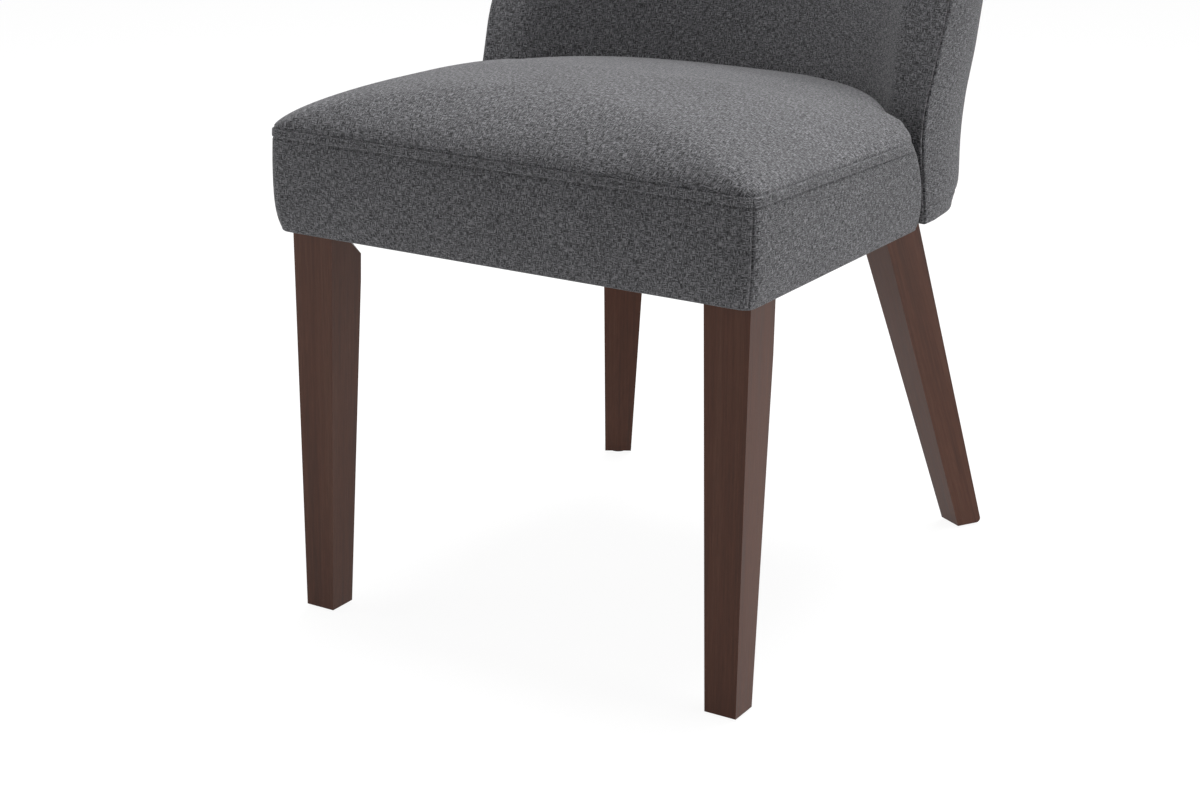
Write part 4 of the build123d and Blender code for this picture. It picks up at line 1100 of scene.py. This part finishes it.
corner_start = overall_height - top_corner_radius
plain_heights = np.concatenate(
    (
        [hem_height + back_hem_round],
        hem_height + back_hem_seam + np.array([-12.0, -8.0, -4.0, -2.0, -0.8, 0.0, 0.8, 2.0, 4.0]) / 1000,
        hem_height + np.array([25.0, 33.0, 42.0, 52.0, 62.0]) / 1000,
        np.linspace(inside_base, corner_start, 46),
    )
)
cap_heights = corner_start + top_corner_radius * np.sin(np.radians(np.arange(5.0, 91.0, 5.0)))
inside_rows = [level_row(height, 0) for height in plain_heights]
hem_middle = (-1, -1.0)
hem_shares = (0.4, 1.0)
nose_hem = hem_rows(inside_rows[0], hem_middle, -1, back_hem_round, hem_shares, nose_hem_turn)
base_row = len(nose_hem) + int(np.searchsorted(plain_heights, inside_base))
inside_rows = nose_hem + inside_rows + [level_row(height, 0) for height in cap_heights]
inside_top = inside_rows[-1]
outside_top = level_row(overall_height, 1)
cross_count = 8
for step in range(1, cross_count + 1):
    share = step / (cross_count + 1)
    row = inside_top + share * (outside_top - inside_top)
    row[:, 2] += top_crown * sin(pi * share) * top_reach
    inside_rows.append(row)
for share in (0.0, 0.12, 0.35, 0.65, 0.9, 1.0):
    inside_rows.append(varied_row(overall_height - share * (overall_height - seam_end_level), 1))
inside_grid = np.array([whole_line(row) for row in inside_rows])
inside_grid[:, :, 1] += seat_front
inside_count = len(inside_grid)

outside_plain = [level_row(height, 1) for height in plain_heights]
outside_hem = hem_rows(outside_plain[0], hem_middle, 1, back_hem_round, hem_shares, back_hem_turn)
outside_rows = outside_hem + outside_plain
for share in (0.12, 0.3, 0.5, 0.68, 0.83, 0.93, 0.98, 1.0):
    outside_rows.append(varied_row(corner_start + share * (seam_end_level - corner_start), 1))
outside_grid = np.array([whole_line(row) for row in outside_rows])
outside_grid[:, :, 1] += seat_front
outside_count = len(outside_grid)
hem_count = len(outside_hem)

nose_columns = len(nose_shares) + 4


def inside_kept(row, column):
    """The inside cover starts above the seat, apart from the noses of the wings and a little behind them."""
    near = min(column, back_columns - 2 - column)
    return row >= base_row or near < nose_columns


def seam_fade(grid):
    """Share of the swelling, from none at the seams to all of it away from them."""
    along = run_lengths(grid, 1)
    up = run_lengths(grid)
    from_sides = smooth_step(np.minimum(along, along[:, -1:] - along) / back_fade)
    return from_sides * smooth_step((up[-1:] - up) / back_fade)


def plumped_back(grid, base, held_rows, swell, flipped):
    """A piece of the back after swelling, held near its base, its top and its seams."""
    held = np.zeros(grid.shape[:2], bool)
    held[: base + held_rows] = True
    held[-3:] = True
    held[:, from_seam < 3] = True
    rows = sorted(set(range(base, len(grid), 2)) | {len(grid) - 1})
    columns = sorted(set(range(0, back_columns, 2)) | {back_columns - 1})
    return plumped_grid(grid, rows, columns, held, seam_fade(grid), swell, False, flipped)


inside_grid = plumped_back(inside_grid, base_row, 4, back_swell, True)
outside_grid = plumped_back(outside_grid, hem_count, 10, outside_swell, False)


def back_piece(name, grid, faces, flipped, detail):
    """A shell of the back's padding and cover, thin at its seams and hem and curled in along the seams."""
    if flipped:
        faces = [tuple(reversed(face)) for face in faces]
    points = grid.reshape(-1, 3)
    normals = vertex_normals(points, faces)
    along = run_lengths(grid, 1)
    up = run_lengths(grid)
    seam_distance = np.minimum(along, along[:, -1:] - along)
    end_distance = up[-1:] - up
    shift = detail - seam_curl * hump(end_distance, seam_width)
    inward = np.zeros_like(grid)
    inward[:, :, 0] = -np.sign(grid[:, :, 0])
    inward[:, :, 1] = 1.0
    side_curl = seam_curl * hump(seam_distance, seam_width)
    curl = (inward * side_curl[:, :, None] / sqrt(2)).reshape(-1, 3)
    from_edge = np.minimum(seam_distance, end_distance)
    spread = smooth_step(from_edge / seam_reach) * smooth_step((grid[:, :, 2] - hem_height) / hem_reach)
    thickness = seam_shell + (back_shell - seam_shell) * spread
    inner = points + curl
    outer = inner + normals * (thickness + shift).reshape(-1, 1)
    across = along - along[:, [half_back]]
    uv = np.column_stack((across.ravel(), (up - up[hem_count]).ravel())) + np.array(back_map_start)
    return make_shell(name, outer, inner, faces, lambda face, index: uv[index], upholstery)


back_pucker = waver(back_columns, 7, 10)

# The hem's seam, a little above the outside's lower edge
from_hem_seam = outside_grid[:, :, 2] - hem_height - back_hem_seam
hem_detail = back_hem_pucker * back_pucker[None, :] * hump(from_hem_seam, back_pucker_reach)
hem_detail = hem_detail - back_hem_groove * hump(from_hem_seam, seam_width)

inside_faces = grid_faces(inside_count, back_columns, False, inside_kept)
back_inside = back_piece("back_inside", inside_grid, inside_faces, True, 0.0)
outside_faces = grid_faces(outside_count, back_columns, False)
back_outside = back_piece("back_outside", outside_grid, outside_faces, False, hem_detail)
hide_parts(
    "back_foam",
    "back_left_wing_pad",
    "back_right_wing_pad",
    "back_wadding",
    "back_top_pad",
    "back_inside_panel",
)
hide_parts("back_outside_panel")
for piece, fill in ((back_inside, 0.85), (back_outside, 0.7)):
    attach(piece, "root")

# Camera at the photograph's viewing angle
photo_width = 1200
photo_height = 800
focal_pixels = 2335.827
middle_row = 343.498
azimuth = radians(31.161)
elevation = radians(17.177)
roll = radians(0.517)
camera_place = (1.024248, -1.84363, 0.861881)
sensor_width = 36.0
backward = Vector((sin(azimuth) * cos(elevation), -cos(azimuth) * cos(elevation), sin(elevation)))
level_right = Vector((cos(azimuth), sin(azimuth), 0.0))
level_up = backward.cross(level_right)
right = level_right * cos(roll) + level_up * sin(roll)
upward = level_up * cos(roll) - level_right * sin(roll)
camera_data = bpy.data.cameras.new("camera")
camera_data.sensor_width = sensor_width
camera_data.lens = focal_pixels * sensor_width / photo_width
camera_data.shift_y = (middle_row - photo_height / 2) / photo_width
camera = bpy.data.objects.new("camera", camera_data)
camera_axes = Matrix((right, upward, backward)).transposed().to_4x4()
camera.matrix_world = Matrix.Translation(camera_place) @ camera_axes
bpy.context.scene.collection.objects.link(camera)
bpy.context.scene.camera = camera


# Lights: soft boxes above and to both sides, little from the front
def softbox(name, place, aim, size, power):
    light = bpy.data.lights.new(name, "AREA")
    light.shape = "RECTANGLE"
    light.size = size[0]
    light.size_y = size[1]
    light.energy = power
    lamp = bpy.data.objects.new(name, light)
    lamp.location = place
    lamp.rotation_euler = (Vector(aim) - Vector(place)).to_track_quat("-Z", "Y").to_euler()
    bpy.context.scene.collection.objects.link(lamp)


softbox("softbox_top", (0.05, 0.42, 2.6), (0.0, 0.0, 0.45), (1.6, 1.6), 90.0)
softbox("softbox_right", (2.3, 0.3, 0.4), (0.1, 0.0, 0.4), (1.6, 1.2), 29.0)
softbox("softbox_left", (-2.0, -1.2, 0.5), (0.0, 0.0, 0.4), (1.4, 1.2), 18.0)


def seen_directly(shader):
    """One for rays that show the background itself, by sight, in gloss or through glass."""
    path = shader.add("ShaderNodeLightPath").node
    total = path.outputs["Is Camera Ray"]
    for name in ("Is Glossy Ray", "Is Transmission Ray"):
        total = shader.math("MAXIMUM", total, path.outputs[name])
    return total


# World, white where it is seen directly and a low even light otherwise
ambient = 0.20
bpy.context.scene.world = bpy.data.worlds.new("world")
world = Shader(bpy.context.scene.world, "Background")
strength = world.ranged(seen_directly(world), ambient, 1.0, 0.0, 1.0)
world.feed(world.surface, {"Color": (1.0, 1.0, 1.0, 1.0), "Strength": strength})

# Floor, white where it is seen directly and still holding the chair's shadow
floor_half = 6.0
floor_tone = 0.92
glow_strength = 1.1
glow_part = 0.84
floor_signs = ((-1, -1), (1, -1), (1, 1), (-1, 1))
floor_points = [(floor_half * x, floor_half * y, 0.0) for x, y in floor_signs]
floor_mesh = bpy.data.meshes.new("floor")
floor_mesh.from_pydata(floor_points, [], [(0, 1, 2, 3)])
floor = bpy.data.objects.new("floor", floor_mesh)
bpy.context.scene.collection.objects.link(floor)
floor_shader = Shader(bpy.data.materials.new("floor"))
floor_shader.finish((floor_tone, floor_tone, floor_tone, 1.0), 0.9)
glow = floor_shader.add("ShaderNodeEmission", {"Strength": glow_strength})
glow_share = floor_shader.math("MULTIPLY", seen_directly(floor_shader), glow_part)
plain = floor_shader.surface.outputs[0]
mixed = floor_shader.add("ShaderNodeMixShader", {0: glow_share, 1: plain, 2: glow})
floor_shader.feed(floor_shader.tree.nodes["Material Output"], {"Surface": mixed})
floor_mesh.materials.append(floor_shader.owner)

bpy.context.scene.view_settings.view_transform = "Standard"
